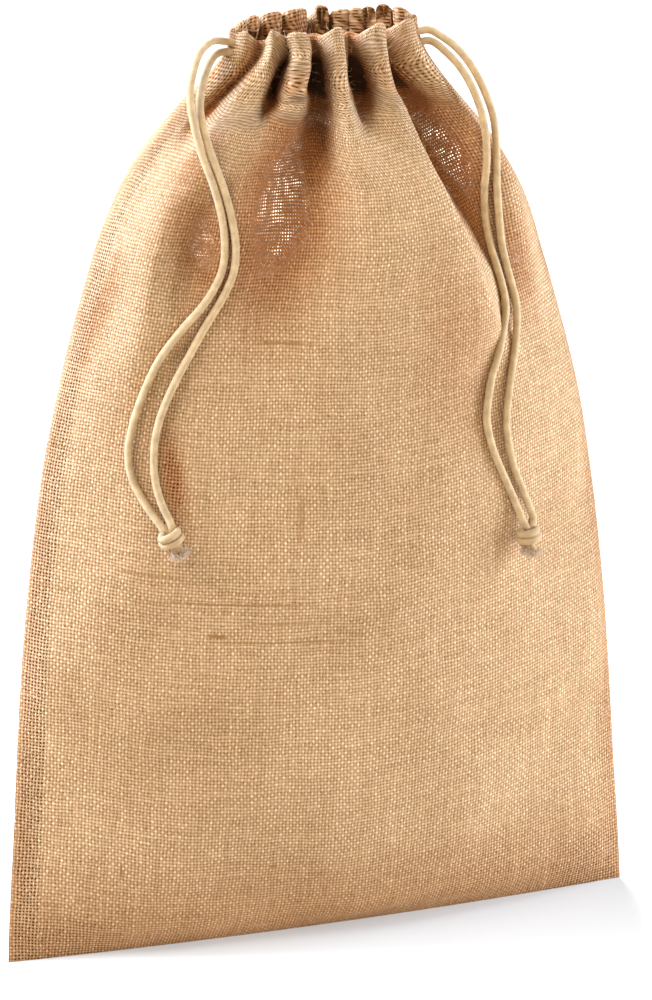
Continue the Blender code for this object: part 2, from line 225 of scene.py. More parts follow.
class Patch(NamedTuple):
    """An oval patch of the cloth: its middle, reaches and slant on the panel."""

    across: float
    height: float
    long_reach: float
    short_reach: float
    slant: float
    strength: float

    def mask(self, u: Array, height: Array, grown: float = 1.0) -> Array:
        """Work out the patch's strength over the panel.

        Args:
            u: Places across the cloth, in millimetres.
            height: Heights in millimetres.
            grown: How many times its reaches it has.

        Returns:
            The strength at each place.
        """
        softness = 1.2
        turn = radians(self.slant)
        over, up = u - self.across, height - self.height
        along = (over * cos(turn) + up * sin(turn)) / (self.long_reach * grown)
        beside = (up * cos(turn) - over * sin(turn)) / (self.short_reach * grown)
        return self.strength * np.exp(-((along**2 + beside**2) ** softness))


SLACK_PATCHES = (
    Patch(107, 348, 34, 20, 84, 1.0),
    Patch(64, 333, 22, 10, 130, 0.72),
    Patch(249, 362, 25, 9, 92, 0.95),
    Patch(45, 366, 10, 8, 45, 0.40),
    Patch(266, 312, 18, 6, 92, 0.55),
)
# Patches of painted shade on the front.
SHADED_PATCHES = (
    Patch(262, 378, 34, 16, 96, 0.34),
    Patch(208, 284, 42, 20, 98, 0.19),
)
WORN_PATCHES = (
    Patch(65, 232, 20, 5.5, 104, 0.90),
    Patch(14, 300, 34, 7, 80, 0.55),
)


def ease(start: float, end: float, value: Array) -> Array:
    """Rise smoothly from 0 at start to 1 at end."""
    share = np.clip((value - start) / (end - start), 0.0, 1.0)
    return share * share * (3.0 - 2.0 * share)


def mix(first: float, second: float, share: Array) -> Array:
    """Blend two numbers."""
    return first + (second - first) * share


def smooth_curve(places: Array, values: Array, place: float) -> float:
    """Read a smooth curve through a row of values.

    Args:
        places: Where the values stand.
        values: The values.
        place: Where to read the curve.

    Returns:
        The curve's value there.
    """
    slopes = np.gradient(values, places)
    at = int(np.clip(np.searchsorted(places, place, "right") - 1, 0, len(places) - 2))
    step = places[at + 1] - places[at]
    t = np.clip((place - places[at]) / step, 0.0, 1.0)
    return (
        (2 * t**3 - 3 * t**2 + 1) * values[at]
        + (t**3 - 2 * t**2 + t) * step * slopes[at]
        + (3 * t**2 - 2 * t**3) * values[at + 1]
        + (t**3 - t**2) * step * slopes[at + 1]
    )


def running_length(*columns: Array) -> Array:
    """Return the distance travelled at each point of a line given by its columns."""
    steps = np.sqrt(sum(np.diff(column) ** 2 for column in columns))
    return np.concatenate([[0.0], np.cumsum(steps)])


def lean_back(points: Array) -> Array:
    """Lean points of the upright sack as it stands.

    Args:
        points: Points whose last axis is x, y and z.

    Returns:
        The points, moved back and a little to the right, and down, in proportion to z.
    """
    right, back, down = 0.0103, 0.030, 0.0098
    points = np.array(points, dtype=float)
    height = points[..., 2].copy()
    points[..., 0] += right * height
    points[..., 1] += back * height
    points[..., 2] -= down * height
    return points


@dataclass
class SackBody:
    """The shape of the filled cloth in millimetres, and in metres once a sheet is asked for.

    A pair is where an effect starts and where it is complete.

    Attributes:
        seam_plane_y: Where the side seams stand on the ground.
        sink: How far the neck is drawn in between its gathers.
        ruffle_lift: How far the rim rises on its ridges and drops in its troughs.
        ridge_span: Lift at which the front rim has risen fully.
        scallop_middle: Lift at which the back rim neither rises nor drops.
        flatness: How much squarer the folds are at the neck.
        seam_calm: Share of the width next to each seam over which the folds fade.
        spread_limit: How far the yarns may close up where the cloth lies open.
        tuck_limit: How many more yarns may be hidden where the cloth is tucked in.
        steepness: Slopes of a fold at which its yarns lie further apart.
        lap_tuck: Laps of a fold at which cloth is tucked in beneath it.
        gap_tuck: Depths of a gap at which cloth is tucked in beside it.
        falling: Slopes of a fold's falling side at which cloth is tucked in there.
    """

    rim_height: float = 418.0
    seam_plane_y: float = -15.75
    lean: float = 0.015
    sink: float = 7.4
    sink_rise: Span = (345, 402)
    ruffle_lift: float = 4.4
    ruffle_foot: float = 385
    ridge_span: float = 8.0
    scallop_middle: float = -1.7
    scallop_span: float = 6.0
    flatness: float = 1.4
    square_rise: Span = (366, 398)
    seam_calm: float = 0.07
    wrinkle: float = 1.0
    samples: int = 1600
    cut_width: float = 300.0
    spread_limit: float = 1.06
    tuck_limit: float = 3.5
    steepness: Span = (0.5, 1.8)
    steep_loss: float = 0.5
    lap_tuck: Span = (0.3, 1.5)
    gap_tuck: Span = (8.0, 14.0)
    gap_tuck_rise: Span = (380.0, 386.0)
    falling: Span = (1.2, 2.6)
    front_folds: Sequence[Sequence[FoldRow]] = FRONT_FOLDS
    back_folds: Sequence[Sequence[FoldRow]] = tuple(gather.rows() for gather in BACK_GATHERS)

    def fold_at(self, fold: Sequence[FoldRow], height: float, across: Array,
                width: float) -> tuple[Array, Array]:
        """Work out one fold at one height.

        Args:
            fold: The fold's rows, from its foot up.
            height: The height.
            across: Shares of the way across the level.
            width: Length of the level.

        Returns:
            How far the fold lifts the cloth, and how far it pushes it sideways.
        """
        if height <= fold[0].height:
            return np.zeros_like(across), np.zeros_like(across)
        heights, *columns = np.array(fold, dtype=float).T
        place, lift, left, right, lap = (smooth_curve(heights, column, height) for column in columns)
        power = 2.0 + self.flatness * ease(*self.square_rise, height)
        offset = (across - place) * width
        reach = np.where(offset < 0.0, left, right)
        profile = np.exp(-(np.abs(offset / reach) ** power))
        return lift * profile, lap * profile

    def outline(self, height: float, side: Side) -> tuple[Array, Array]:
        """Work out a panel's level before its folds.

        Args:
            height: Height of the level.
            side: Which panel.

        Returns:
            The x and y of its points, from the left seam.
        """
        heights = np.array([row.height for row in SECTIONS])
        half_width, depth, roundness, drift = (
            smooth_curve(heights, np.array([getattr(row, column) for row in SECTIONS]), height)
            for column in ("half_width", side.name.lower() + "_depth", "roundness", "drift")
        )
        turn = np.linspace(0.0, pi, self.samples)
        return drift - half_width * np.cos(turn), side.value * depth * np.sin(turn) ** roundness

    def level(self, height: float, side: Side, columns: int) -> Array:
        """Work out one level of a panel.

        Args:
            height: Height of the level before the sack leans.
            side: Which panel.
            columns: How many points to return.

        Returns:
            An array of columns rows from the left seam to the right: x, y, z, the folds' lift,
            and the place on the flat cloth.
        """
        sign = side.value
        folds = self.front_folds if side is Side.FRONT else self.back_folds
        x, y = self.outline(height, side)
        arc = running_length(x, y)
        across = arc / arc[-1]
        slope_x, slope_y = np.gradient(x), np.gradient(y)
        length = np.hypot(slope_x, slope_y)
        calm = ease(0.0, self.seam_calm, across) * ease(0.0, self.seam_calm, 1.0 - across)
        pushes = [self.fold_at(fold, height, across, arc[-1]) for fold in folds]
        lift = sum(push[0] for push in pushes)
        lap = sum(push[1] for push in pushes) * calm
        lift = (lift - self.sink * ease(*self.sink_rise, height)) * calm
        x = x + (slope_x * lap - sign * slope_y * lift) / length
        y = y + (slope_y * lap + sign * slope_x * lift) / length
        rise = self.ruffle_lift * ease(self.ruffle_foot, self.rim_height, height)
        if side is Side.BACK:
            rise = rise * np.clip((self.scallop_middle - lift) / self.scallop_span, -1.0, 1.0)
        else:
            rise = rise * np.clip(lift / self.ridge_span, -1.0, 1.0)
        cloth = running_length(x, y)
        fall = np.gradient(lift, arc)
        gaps = ease(*self.gap_tuck, -lift) * ease(*self.gap_tuck_rise, height)
        tucked = np.maximum(ease(*self.lap_tuck, lap), gaps)
        tucked = tucked * ease(*self.falling, -fall) * (side is Side.FRONT)
        thread = self.thread_count(cloth, tucked, ease(*self.steepness, np.abs(fall)))
        even = np.linspace(0.0, cloth[-1], columns)
        rows = (x, y, rise, lift, thread)
        x, y, rise, lift, thread = (np.interp(even, cloth, row) for row in rows)
        y = y + self.seam_plane_y + self.lean * height
        return np.stack([x, y, height + rise, lift, thread], axis=1)

    def thread_count(self, cloth: Array, tucked: Array, steep: Array) -> Array:
        """Count the flat cloth's millimetres along a level.

        The gathered level is shorter than the cut cloth. What it lacks is tucked in where a
        fold laps over, and the yarns lie further apart on the steep sides of the folds.

        Args:
            cloth: Distance along the level at each point.
            tucked: Where cloth is tucked in, from 0 to 1.
            steep: How steep the folds are, from 0 to 1.

        Returns:
            The place on the flat cloth at each point.
        """
        steps = np.diff(cloth)
        slack = 1.0 - self.steep_loss * 0.5 * (steep[1:] + steep[:-1])
        spread = min(self.cut_width / float(np.sum(slack * steps)), self.spread_limit)
        hidden = 0.5 * (tucked[1:] + tucked[:-1])
        lacking = self.cut_width - spread * float(np.sum(slack * steps))
        room = float(np.sum(hidden * steps))
        density = spread * slack + hidden * min(lacking / max(room, 1.0), self.tuck_limit)
        thread = np.concatenate([[0.0], np.cumsum(density * steps)])
        return thread * (self.cut_width / thread[-1])

    def sheet(self, side: Side, heights: Sequence[float], columns: int) -> tuple[Array, ...]:
        """Shape a panel.

        Args:
            side: Which panel.
            heights: Height of each row.
            columns: Points in each row.

        Returns:
            The points in metres, and the lift and the place on the flat cloth in millimetres.
        """
        levels = np.stack([self.level(height, side, columns) for height in heights])
        return lean_back(levels[..., :3]) * MM, levels[..., 3], levels[..., 4]


# --------------------------------------------------------------------------- shader graphs


FLOAT, VECTOR, INTEGER = "NodeSocketFloat", "NodeSocketVector", "NodeSocketInt"
WHITE = (1.0, 1.0, 1.0, 1.0)


class Graph:
    """Adds nodes to a node tree and joins them."""

    def __init__(self, tree: Tree) -> None:
        """Work on a tree."""
        self.tree = tree
        self.source: Union[Outputs, None] = None
        self.result: Union[Outputs, None] = None

    @classmethod
    def group(cls, name: str, inputs: dict[str, tuple[str, object]], outputs: dict[str, str],
              kind: str = "ShaderNodeTree") -> "Graph":
        """Start a node group.

        Args:
            name: The group's name.
            inputs: Each input's kind and default.
            outputs: Each output's kind.
            kind: Kind of node tree.

        Returns:
            The graph. Its source holds the group's inputs and its result the outputs.
        """
        graph = cls(bpy.data.node_groups.new(name, kind))
        sockets = graph.tree.interface
        for label, (socket_kind, default) in inputs.items():
            socket = sockets.new_socket(label, in_out="INPUT", socket_type=socket_kind)
            if default is not None:
                socket.default_value = default
        for label, socket_kind in outputs.items():
            sockets.new_socket(label, in_out="OUTPUT", socket_type=socket_kind)
        graph.source = graph.add("NodeGroupInput").outputs
        graph.result = graph.add("NodeGroupOutput").inputs
        return graph

    @classmethod
    def material(cls, name: str, **settings: object) -> tuple["Graph", Material, bpy.types.Node]:
        """Start a material.

        Args:
            name: The material's name.
            **settings: Its surface's plain values, with underscores for spaces.

        Returns:
            Its graph, the material, and its surface shader.
        """
        material = bpy.data.materials.new(name)
        material.use_nodes = True
        surface = material.node_tree.nodes["Principled BSDF"]
        for label, value in settings.items():
            surface.inputs[label.replace("_", " ")].default_value = value
        return cls(material.node_tree), material, surface

    def feed(self, socket: Socket, value: object) -> None:
        """Join a socket to another, or set its value.

        Args:
            socket: The input.
            value: A socket or a value.
        """
        if isinstance(value, Socket):
            self.tree.links.new(value, socket)
        else:
            socket.default_value = value

    def add(self, kind: str, inputs: Union[dict, None] = None, **settings: object) -> bpy.types.Node:
        """Add a node.

        Args:
            kind: Its type.
            inputs: What it is fed, by the inputs' names or numbers.
            **settings: Its properties.

        Returns:
            The node.
        """
        node = self.tree.nodes.new(kind)
        for name, value in settings.items():
            setattr(node, name, value)
        for key, value in (inputs or {}).items():
            self.feed(node.inputs[key], value)
        return node

    def math(self, operation: str, *values: Number, clamp: bool = False) -> Socket:
        """Return the result of a math node."""
        settings = {"operation": operation, "use_clamp": clamp}
        return self.add("ShaderNodeMath", dict(enumerate(values)), **settings).outputs[0]

    def times(self, first: Number, second: Number) -> Socket:
        """Return a product."""
        return self.math("MULTIPLY", first, second)

    def minus(self, first: Number, second: Number, clamp: bool = False) -> Socket:
        """Return a difference."""
        return self.math("SUBTRACT", first, second, clamp=clamp)

    def over(self, first: Number, second: Number) -> Socket:
        """Return a quotient."""
        return self.math("DIVIDE", first, second)

    def times_plus(self, first: Number, second: Number, third: Number) -> Socket:
        """Return the third number added to the product of the others."""
        return self.math("MULTIPLY_ADD", first, second, third)

    def fit(self, value: Number, *limits: Number, kind: str = "SMOOTHSTEP") -> Socket:
        """Map a value from the first two limits to 0 and 1, or to the last two, and clamp it."""
        inputs = dict(enumerate((value, *limits)))
        return self.add("ShaderNodeMapRange", inputs, interpolation_type=kind).outputs[0]

    def line(self, value: Number, *limits: Number) -> Socket:
        """Map a value as fit does, but along a straight line."""
        return self.fit(value, *limits, kind="LINEAR")

    def join(self, *numbers: Number) -> Socket:
        """Return a vector made of numbers."""
        return self.add("ShaderNodeCombineXYZ", dict(enumerate(numbers))).outputs[0]

    def split(self, vector: Socket) -> tuple[Socket, ...]:
        """Return a vector's three numbers."""
        return tuple(self.add("ShaderNodeSeparateXYZ", {0: vector}).outputs)

    def noise(self, place: Socket, scale: Number, detail: Number = 2.0, roughness: Number = 0.5) -> Socket:
        """Return a noise texture's value, from 0 to 1."""
        inputs = {"Vector": place, "Scale": scale, "Detail": detail, "Roughness": roughness}
        return self.add("ShaderNodeTexNoise", inputs, noise_dimensions="3D").outputs[0]

    def blend(self, share: Number, first: object, second: object, mode: str = "MIX") -> Socket:
        """Return a mixture of two colours."""
        inputs = {0: share, 6: first, 7: second}
        return self.add("ShaderNodeMix", inputs, data_type="RGBA", blend_type=mode).outputs[2]

    def tinted(self, first: object, second: object) -> Socket:
        """Return the product of two colours."""
        return self.blend(1.0, first, second, "MULTIPLY")

    def choose(self, switch: Number, off: Number, on: Number) -> Socket:
        """Return a number picked by a switch."""
        return self.add("ShaderNodeMix", {0: switch, 2: off, 3: on}, data_type="FLOAT").outputs[0]

    def mask(self, name: str) -> Socket:
        """Return a number that the mesh carries at each point."""
        return self.add("ShaderNodeAttribute", attribute_name=name).outputs["Fac"]

    def place(self, group: Tree, **values: object) -> Outputs:
        """Place a group, with underscores for the spaces in its inputs' names, and return its outputs."""
        inputs = {name.replace("_", " "): value for name, value in values.items()}
        return self.add("ShaderNodeGroup", inputs, node_tree=group).outputs

    def random(self, low: object, high: object, seed: Socket, offset: int) -> Socket:
        """Pick a random number or vector for each point.

        Args:
            low: The lowest it can be.
            high: The highest.
            seed: The tree's seed.
            offset: Keeps this choice apart from the others.

        Returns:
            The choice.
        """
        kind, first, result = ("FLOAT_VECTOR", 0, 0) if isinstance(low, tuple) else ("FLOAT", 2, 1)
        inputs = {first: low, first + 1: high, "Seed": self.math("ADD", seed, offset)}
        return self.add("FunctionNodeRandomValue", inputs, data_type=kind).outputs[result]

    def relief(self, surface: bpy.types.Node, height: Socket, depth: float, strength: float) -> None:
        """Give a surface its relief, where a height of 1 is depth metres."""
        bump = self.add("ShaderNodeBump", {"Strength": strength, "Distance": depth, "Height": height})
        self.feed(surface.inputs["Normal"], bump.outputs[0])


@dataclass(frozen=True)
class PlainWeave:
    """Warp and weft laid over and under each other, as a shader group.

    A pair is where an effect starts and where it is complete, or the warp's and the weft's value.

    Attributes:
        wander: How far, in metres, the yarns leave a straight line.
        stray: How far the unevenness of one yarn moves it to its side, in pitches.
        key_step: Keeps the tones of neighbouring yarns apart.
        rides: How far a yarn rises and sinks from crossing to crossing.
        bulges: How far its middle stands above its edges.
        drop: How far the gaps lie below the yarns.
    """

    pitches: Span = (0.00153, 0.00157)
    wander: Span = (0.0016, 0.0022)
    wander_scales: Span = (70.0, 55.0)
    wander_seed: float = 3.7
    slow_change: float = 0.055
    quick_change: float = 0.35
    slub_band: Span = (0.66, 0.76)
    stray: float = 0.55
    swell: float = 2.4
    slub_swell: float = 0.35
    key_step: float = 7.31
    seeds: Span = (11.3, 47.9)
    rides: Span = (0.42, -0.30)
    bulges: Span = (0.58, 0.50)
    edge_band: Span = (0.0, 0.30)
    drop: float = -2.0
    height_band: Span = (-0.6, 1.0)
    cover_band: Span = (-1.15, -0.55)

    def yarns(self, graph: Graph, over: Socket, beside: Socket, seed: float) -> tuple[Socket, ...]:
        """Lay one set of yarns.

        Args:
            graph: The group's graph.
            over: Place across the yarns, in pitches.
            beside: Place along them, in pitches.
            seed: Picks their tones.

        Returns:
            Each yarn's count, the roundness of its crown, its tone, and how coarse it is.
        """
        count = graph.math("FLOOR", over)
        key = graph.times_plus(count, self.key_step, seed)
        slow = graph.noise(graph.join(key, graph.times(beside, self.slow_change), seed), 1.0, 1.0)
        quick = graph.noise(graph.join(key, graph.times(beside, self.quick_change), seed + 5.0), 1.0)
        slub = graph.fit(slow, *self.slub_band)
        uneven = graph.minus(quick, 0.5)
        offset = graph.minus(graph.minus(over, count), 0.5)
        offset = graph.minus(offset, graph.times(uneven, self.stray))
        swell = graph.times_plus(graph.times(uneven, graph.source["Unevenness"]), self.swell, 1.0)
        swell = graph.times_plus(slub, self.slub_swell, swell)
        ratio = graph.over(offset, graph.times(graph.times(graph.source["Yarn Share"], 0.5), swell))
        crown = graph.math("SQRT", graph.minus(1.0, graph.times(ratio, ratio), clamp=True))
        return count, crown, slow, slub

    def raised(self, graph: Graph, count: Socket, beside: Socket, crown: Socket, which: int) -> Socket:
        """Raise a set of yarns over and under the other set.

        Args:
            graph: The group's graph.
            count: Each yarn's count.
            beside: Place along it, in pitches.
            crown: The roundness of its crown.
            which: 0 for the warp and 1 for the weft.

        Returns:
            The yarns' height, far down in the gaps between them.
        """
        turn = graph.math("COSINE", graph.times(count, pi))
        wave = graph.math("COSINE", graph.times(graph.minus(beside, 0.5), pi))
        bulge = graph.times(crown, self.bulges[which])
        body = graph.times_plus(graph.times(turn, wave), self.rides[which], bulge)
        gap = graph.minus(1.0, graph.fit(crown, *self.edge_band))
        return graph.times_plus(gap, self.drop, body)

    def build(self) -> Tree:
        """Build the group.

        Returns:
            The group. Its height is 0 in the gaps and 1 on the crowns, its cover is 0 in the
            gaps, its tone differs from yarn to yarn, its slub marks the thick coarse stretches,
            and its chance differs from crossing to crossing.
        """
        inputs = {
            "Place": (VECTOR, None),
            "Warp Pitch": (FLOAT, self.pitches[0]),
            "Weft Pitch": (FLOAT, self.pitches[1]),
            "Yarn Share": (FLOAT, 0.8),
            "Unevenness": (FLOAT, 0.3),
        }
        outputs = dict.fromkeys(("Height", "Cover", "Tone", "Slub", "Chance"), FLOAT)
        graph = Graph.group("plain_weave", inputs, outputs)
        source, result = graph.source, graph.result
        u, v, _ = graph.split(source["Place"])
        places = []
        for at, own, place in ((0, u, source["Place"]), (1, v, graph.join(v, u, self.wander_seed))):
            drift = graph.minus(graph.noise(place, self.wander_scales[at], 1.0), 0.5)
            pitch = source[("Warp Pitch", "Weft Pitch")[at]]
            places.append(graph.over(graph.times_plus(drift, self.wander[at], own), pitch))
        across, along = places
        warp, warp_crown, warp_tone, warp_slub = self.yarns(graph, across, along, self.seeds[0])
        weft, weft_crown, weft_tone, weft_slub = self.yarns(graph, along, across, self.seeds[1])
        warp_height = self.raised(graph, warp, along, warp_crown, 0)
        weft_height = self.raised(graph, weft, across, weft_crown, 1)
        height = graph.math("MAXIMUM", warp_height, weft_height)
        over = graph.math("GREATER_THAN", warp_height, weft_height)
        chance = graph.add("ShaderNodeTexWhiteNoise", noise_dimensions="2D")
        graph.feed(chance.inputs["Vector"], graph.join(warp, weft))
        graph.feed(result["Chance"], chance.outputs["Value"])
        graph.feed(result["Height"], graph.line(height, *self.height_band))
        graph.feed(result["Cover"], graph.fit(height, *self.cover_band))
        graph.feed(result["Tone"], graph.choose(over, weft_tone, warp_tone))
        graph.feed(result["Slub"], graph.choose(over, weft_slub, warp_slub))
        return graph.tree


def coarse_stretch() -> Tree:
    """Build the group that marks a coarse or stained stretch of one yarn.

    Returns:
        The group. Its mask is 1 on the stretch and 0 away from it.
    """
    ragged_scale, raggedness, edge_band = 300.0, 0.9, (0.9, 1.6)
    inputs = {"Place": (VECTOR, None)}
    inputs.update(dict.fromkeys(("Across", "Along", "Half Width", "Half Height"), (FLOAT, 0.0)))
    graph = Graph.group("coarse_stretch", inputs, {"Mask": FLOAT})
    source = graph.source
    u, v, _ = graph.split(source["Place"])
    over = graph.over(graph.minus(u, source["Across"]), source["Half Width"])
    up = graph.over(graph.minus(v, source["Along"]), source["Half Height"])
    away = graph.math("MAXIMUM", graph.math("ABSOLUTE", over), graph.math("ABSOLUTE", up))
    away = graph.times_plus(graph.noise(source["Place"], ragged_scale), raggedness, away)
    graph.feed(graph.result["Mask"], graph.minus(1.0, graph.fit(away, *edge_band)))
    return graph.tree


def patchiness() -> Tree:
    """Build the group that makes a finish uneven from place to place.

    Returns:
        The group. Its values go from Dark to Light, along a smooth step and a straight line.
    """
    inputs = {
        "Place": (VECTOR, None),
        "Scale": (FLOAT, 100.0),
        "Detail": (FLOAT, 2.0),
        "Low": (FLOAT, 0.3),
        "High": (FLOAT, 0.7),
        "Dark": (FLOAT, 0.0),
        "Light": (FLOAT, 1.0),
    }
    graph = Graph.group("patchiness", inputs, {"Smooth": FLOAT, "Straight": FLOAT})
    place, scale, detail, *limits = (graph.source[name] for name in inputs)
    value = graph.noise(place, scale, detail)
    graph.feed(graph.result["Smooth"], graph.fit(value, *limits))
    graph.feed(graph.result["Straight"], graph.line(value, *limits))
    return graph.tree


def fine_fuzz() -> Tree:
    """Build the group that adds the fuzz of fine fibres to a relief.

    Returns:
        The group. Its height is the given height with its share of fuzz.
    """
    inputs = {
        "Place": (VECTOR, None),
        "Scale": (FLOAT, 3000.0),
        "Roughness": (FLOAT, 0.5),
        "Share": (FLOAT, 0.2),
        "Height": (FLOAT, 0.0),
    }
    graph = Graph.group("fine_fuzz", inputs, {"Height": FLOAT})
    place, scale, roughness, share, height = (graph.source[name] for name in inputs)
    fuzz = graph.noise(place, scale, roughness=roughness)
    graph.feed(graph.result["Height"], graph.times_plus(fuzz, share, height))
    return graph.tree


@dataclass
class ShaderParts:
    """The shader groups that the finishes share, each built once."""

    weave: Tree = field(default_factory=PlainWeave().build)
    stretch: Tree = field(default_factory=coarse_stretch)
    patchiness: Tree = field(default_factory=patchiness)
    fuzz: Tree = field(default_factory=fine_fuzz)


class Stretch(NamedTuple):
    """A coarse stretch of yarn: its middle and half sizes on the flat cloth."""

    across: float
    along: float
    half_width: float
    half_height: float
    strength: float


STRETCHES = tuple(
    Stretch(*row)
    for row in (
        (116, 299, 15, 0.8, 0.75),
        (96, 181, 36, 0.60, 0.80),
        (88, 166, 5, 1.1, 0.95),
        (118, 163, 34, 0.55, 0.72),
        (120, 172, 20, 0.55, 0.62),
        (49, 50, 0.6, 4, 1.00),
        (126, 220, 2.2, 12, 0.45),
        (118, 53, 2.0, 1.0, 0.90),
        (56, 192, 16, 0.55, 0.66),
    )
)


@dataclass(frozen=True)
class JuteFinish:
    """Sandy jute cloth: colours with painted shade, highlights and glow, openness and relief.

    A band is where an effect starts and where it is complete. Other pairs are what 0 and 1
    become, or the darkest and the lightest tone.

    Attributes:
        deep: Colour between the yarns, where light hardly reaches.
        crown: Painted highlight on top of the yarns.
        stain: Brown of the coarse slubs and specks.
        shadow: Tint of painted shade for cloth in a hollow, which also gives the worn patches their brown.
        inside: Painted shade for what shows through a gap where no light comes out.
        painted_glow_colour: Colour of the painted glow that stands in for light coming through the cloth
            from behind.
        yarn_share: Share of the pitch that the yarn fills in tight and in open cloth.
        warmth: Powers by which green and blue follow the tone.
        glow_gap: Painted glow on the yarns and in the gaps.
    """

    name: str = "jute_cloth"
    deep: Colour = (0.235, 0.088, 0.015, 1.0)
    body: Colour = (0.515, 0.292, 0.126, 1.0)
    crown: Colour = (0.790, 0.580, 0.350, 1.0)
    stain: Colour = (0.330, 0.150, 0.048, 1.0)
    shadow: Colour = (0.62, 0.300, 0.112, 1.0)
    inside: Colour = (0.035, 0.014, 0.006, 1.0)
    painted_glow_colour: Colour = (1.0, 0.88, 0.68, 1.0)
    sheen_tint: Colour = (1.0, 0.80, 0.52, 1.0)
    glow: float = 2.6
    roughness: float = 0.93
    relief: float = 0.55 * MM
    yarn_share: Span = (0.76, 0.57)
    body_band: Span = (0.34, 0.68)
    highlight_band: Span = (0.78, 0.98)
    highlight_chance: Span = (0.50, 0.95)
    tone_band: Span = (0.25, 0.75)
    yarn_tone: Span = (0.84, 1.14)
    spot_tone: Span = (0.93, 1.07)
    patch_tone: Span = (0.95, 1.05)
    warmth: Span = (1.2, 1.5)
    speck_scale: float = 420.0
    speck_band: Span = (0.71, 0.78)
    slub_stain: float = 0.30
    stain_strength: float = 0.75
    dark_band: Span = (0.15, 0.9)
    dark_gap: float = 0.9
    shade_and_wear_band: Span = (0.0, 0.62)
    black_band: Span = (0.66, 1.0)
    black_share: float = 0.85
    glow_band: Span = (0.10, 0.80)
    least_glow: float = 0.30
    glow_gap: Span = (0.20, 1.9)

    def yarn_colour(self, graph: Graph, cloth: Outputs, place: Socket, parts: ShaderParts) -> Socket:
        """Colour the yarns, with painted shade between them and painted highlights on their crowns.

        Args:
            graph: The material's graph.
            cloth: The weave's outputs.
            place: Place on the flat cloth.
            parts: The shared groups.

        Returns:
            The colour before gaps and hollows darken it.
        """
        height, chance = cloth["Height"], cloth["Chance"]
        spots_in_chance, (dark, light) = 7.0, self.patch_tone
        # Painted highlights on the crowns, and painted shade from deep between the yarns to body.
        painted_highlights = graph.line(chance, 0.0, 1.0, *self.highlight_chance)
        painted_highlights = graph.times(graph.fit(height, *self.highlight_band), painted_highlights)
        colour = graph.blend(graph.fit(height, *self.body_band), self.deep, self.body)
        colour = graph.blend(painted_highlights, colour, self.crown)
        tone = graph.line(cloth["Tone"], *self.tone_band, *self.yarn_tone)
        patch = graph.place(parts.patchiness, Place=place, Scale=14.0, Detail=3.0, Dark=dark, Light=light)
        spot = graph.math("FRACT", graph.times(chance, spots_in_chance))
        spot = graph.fit(spot, 0.0, 1.0, *self.spot_tone)
        tone = graph.times(graph.times(tone, patch["Smooth"]), spot)
        green, blue = (graph.math("POWER", tone, power) for power in self.warmth)
        return graph.tinted(colour, graph.join(tone, green, blue))

    def stained(self, graph: Graph, slub: Socket, place: Socket, stretch: Tree) -> Socket:
        """Mark the brown slubs, specks and coarse stretches.

        Args:
            graph: The material's graph.
            slub: Where the yarns are coarse.
            place: Place on the flat cloth.
            stretch: The group that marks a coarse stretch.

        Returns:
            How stained the cloth is, from 0 to 1.
        """
        specks = graph.fit(graph.noise(place, self.speck_scale), *self.speck_band)
        stained = graph.math("MAXIMUM", graph.times(slub, self.slub_stain), specks)
        stained = graph.times(stained, self.stain_strength)
        for mark in STRETCHES:
            across, along, width, height = (value * MM for value in mark[:4])
            sizes = {"Across": across, "Along": along, "Half_Width": width, "Half_Height": height}
            share = graph.times(graph.place(stretch, Place=place, **sizes)["Mask"], mark.strength)
            stained = graph.math("MAXIMUM", stained, share)
        return stained

    def glowing(self, graph: Graph, gap: Socket, chance: Socket) -> Socket:
        """Paint a glow on the inner face that stands in for the light from behind coming through the cloth.

        Args:
            graph: The material's graph.
            gap: Where the gaps are.
            chance: A number that differs from crossing to crossing.

        Returns:
            The strength of the painted glow.
        """
        inner = graph.add("ShaderNodeNewGeometry").outputs["Backfacing"]
        glow = graph.times(graph.times(graph.mask("painted_glow"), inner), self.glow)
        glow = graph.times(glow, graph.fit(chance, *self.glow_band, self.least_glow, 1.0))
        return graph.times(glow, graph.line(gap, 0.0, 1.0, *self.glow_gap))

    def build(self, parts: ShaderParts) -> Material:
        """Make the cloth's material.

        Args:
            parts: The shared groups.

        Returns:
            The material.
        """
        graph, material, surface = Graph.material(
            self.name,
            Roughness=self.roughness,
            Specular_IOR_Level=0.06,
            Sheen_Weight=0.08,
            Sheen_Tint=self.sheen_tint,
            Sheen_Roughness=0.5,
            Emission_Color=self.painted_glow_colour,
        )
        place = graph.add("ShaderNodeUVMap", uv_map="cloth").outputs[0]
        opening, painted_shade_and_wear, sheer = (graph.mask(name) for name in ("openness", "painted_shade_and_wear", "sheerness"))
        share = graph.line(opening, 0.0, 1.0, *self.yarn_share)
        cloth = graph.place(parts.weave, Place=place, Yarn_Share=share)
        gap = graph.minus(1.0, cloth["Cover"])
        colour = self.yarn_colour(graph, cloth, place, parts)
        colour = graph.blend(self.stained(graph, cloth["Slub"], place, parts.stretch), colour, self.stain)
        # Painted shade: the gaps of open cloth take the dark of the unlit inside.
        dark = graph.times(gap, graph.fit(opening, *self.dark_band, 0.0, self.dark_gap))
        colour = graph.blend(dark, colour, self.inside)
        # Painted shade in hollows, gaps and at the foot, with the worn patches' real brown, tints the
        # colour.
        colour = graph.tinted(colour, graph.blend(graph.line(painted_shade_and_wear, *self.shade_and_wear_band), WHITE, self.shadow))
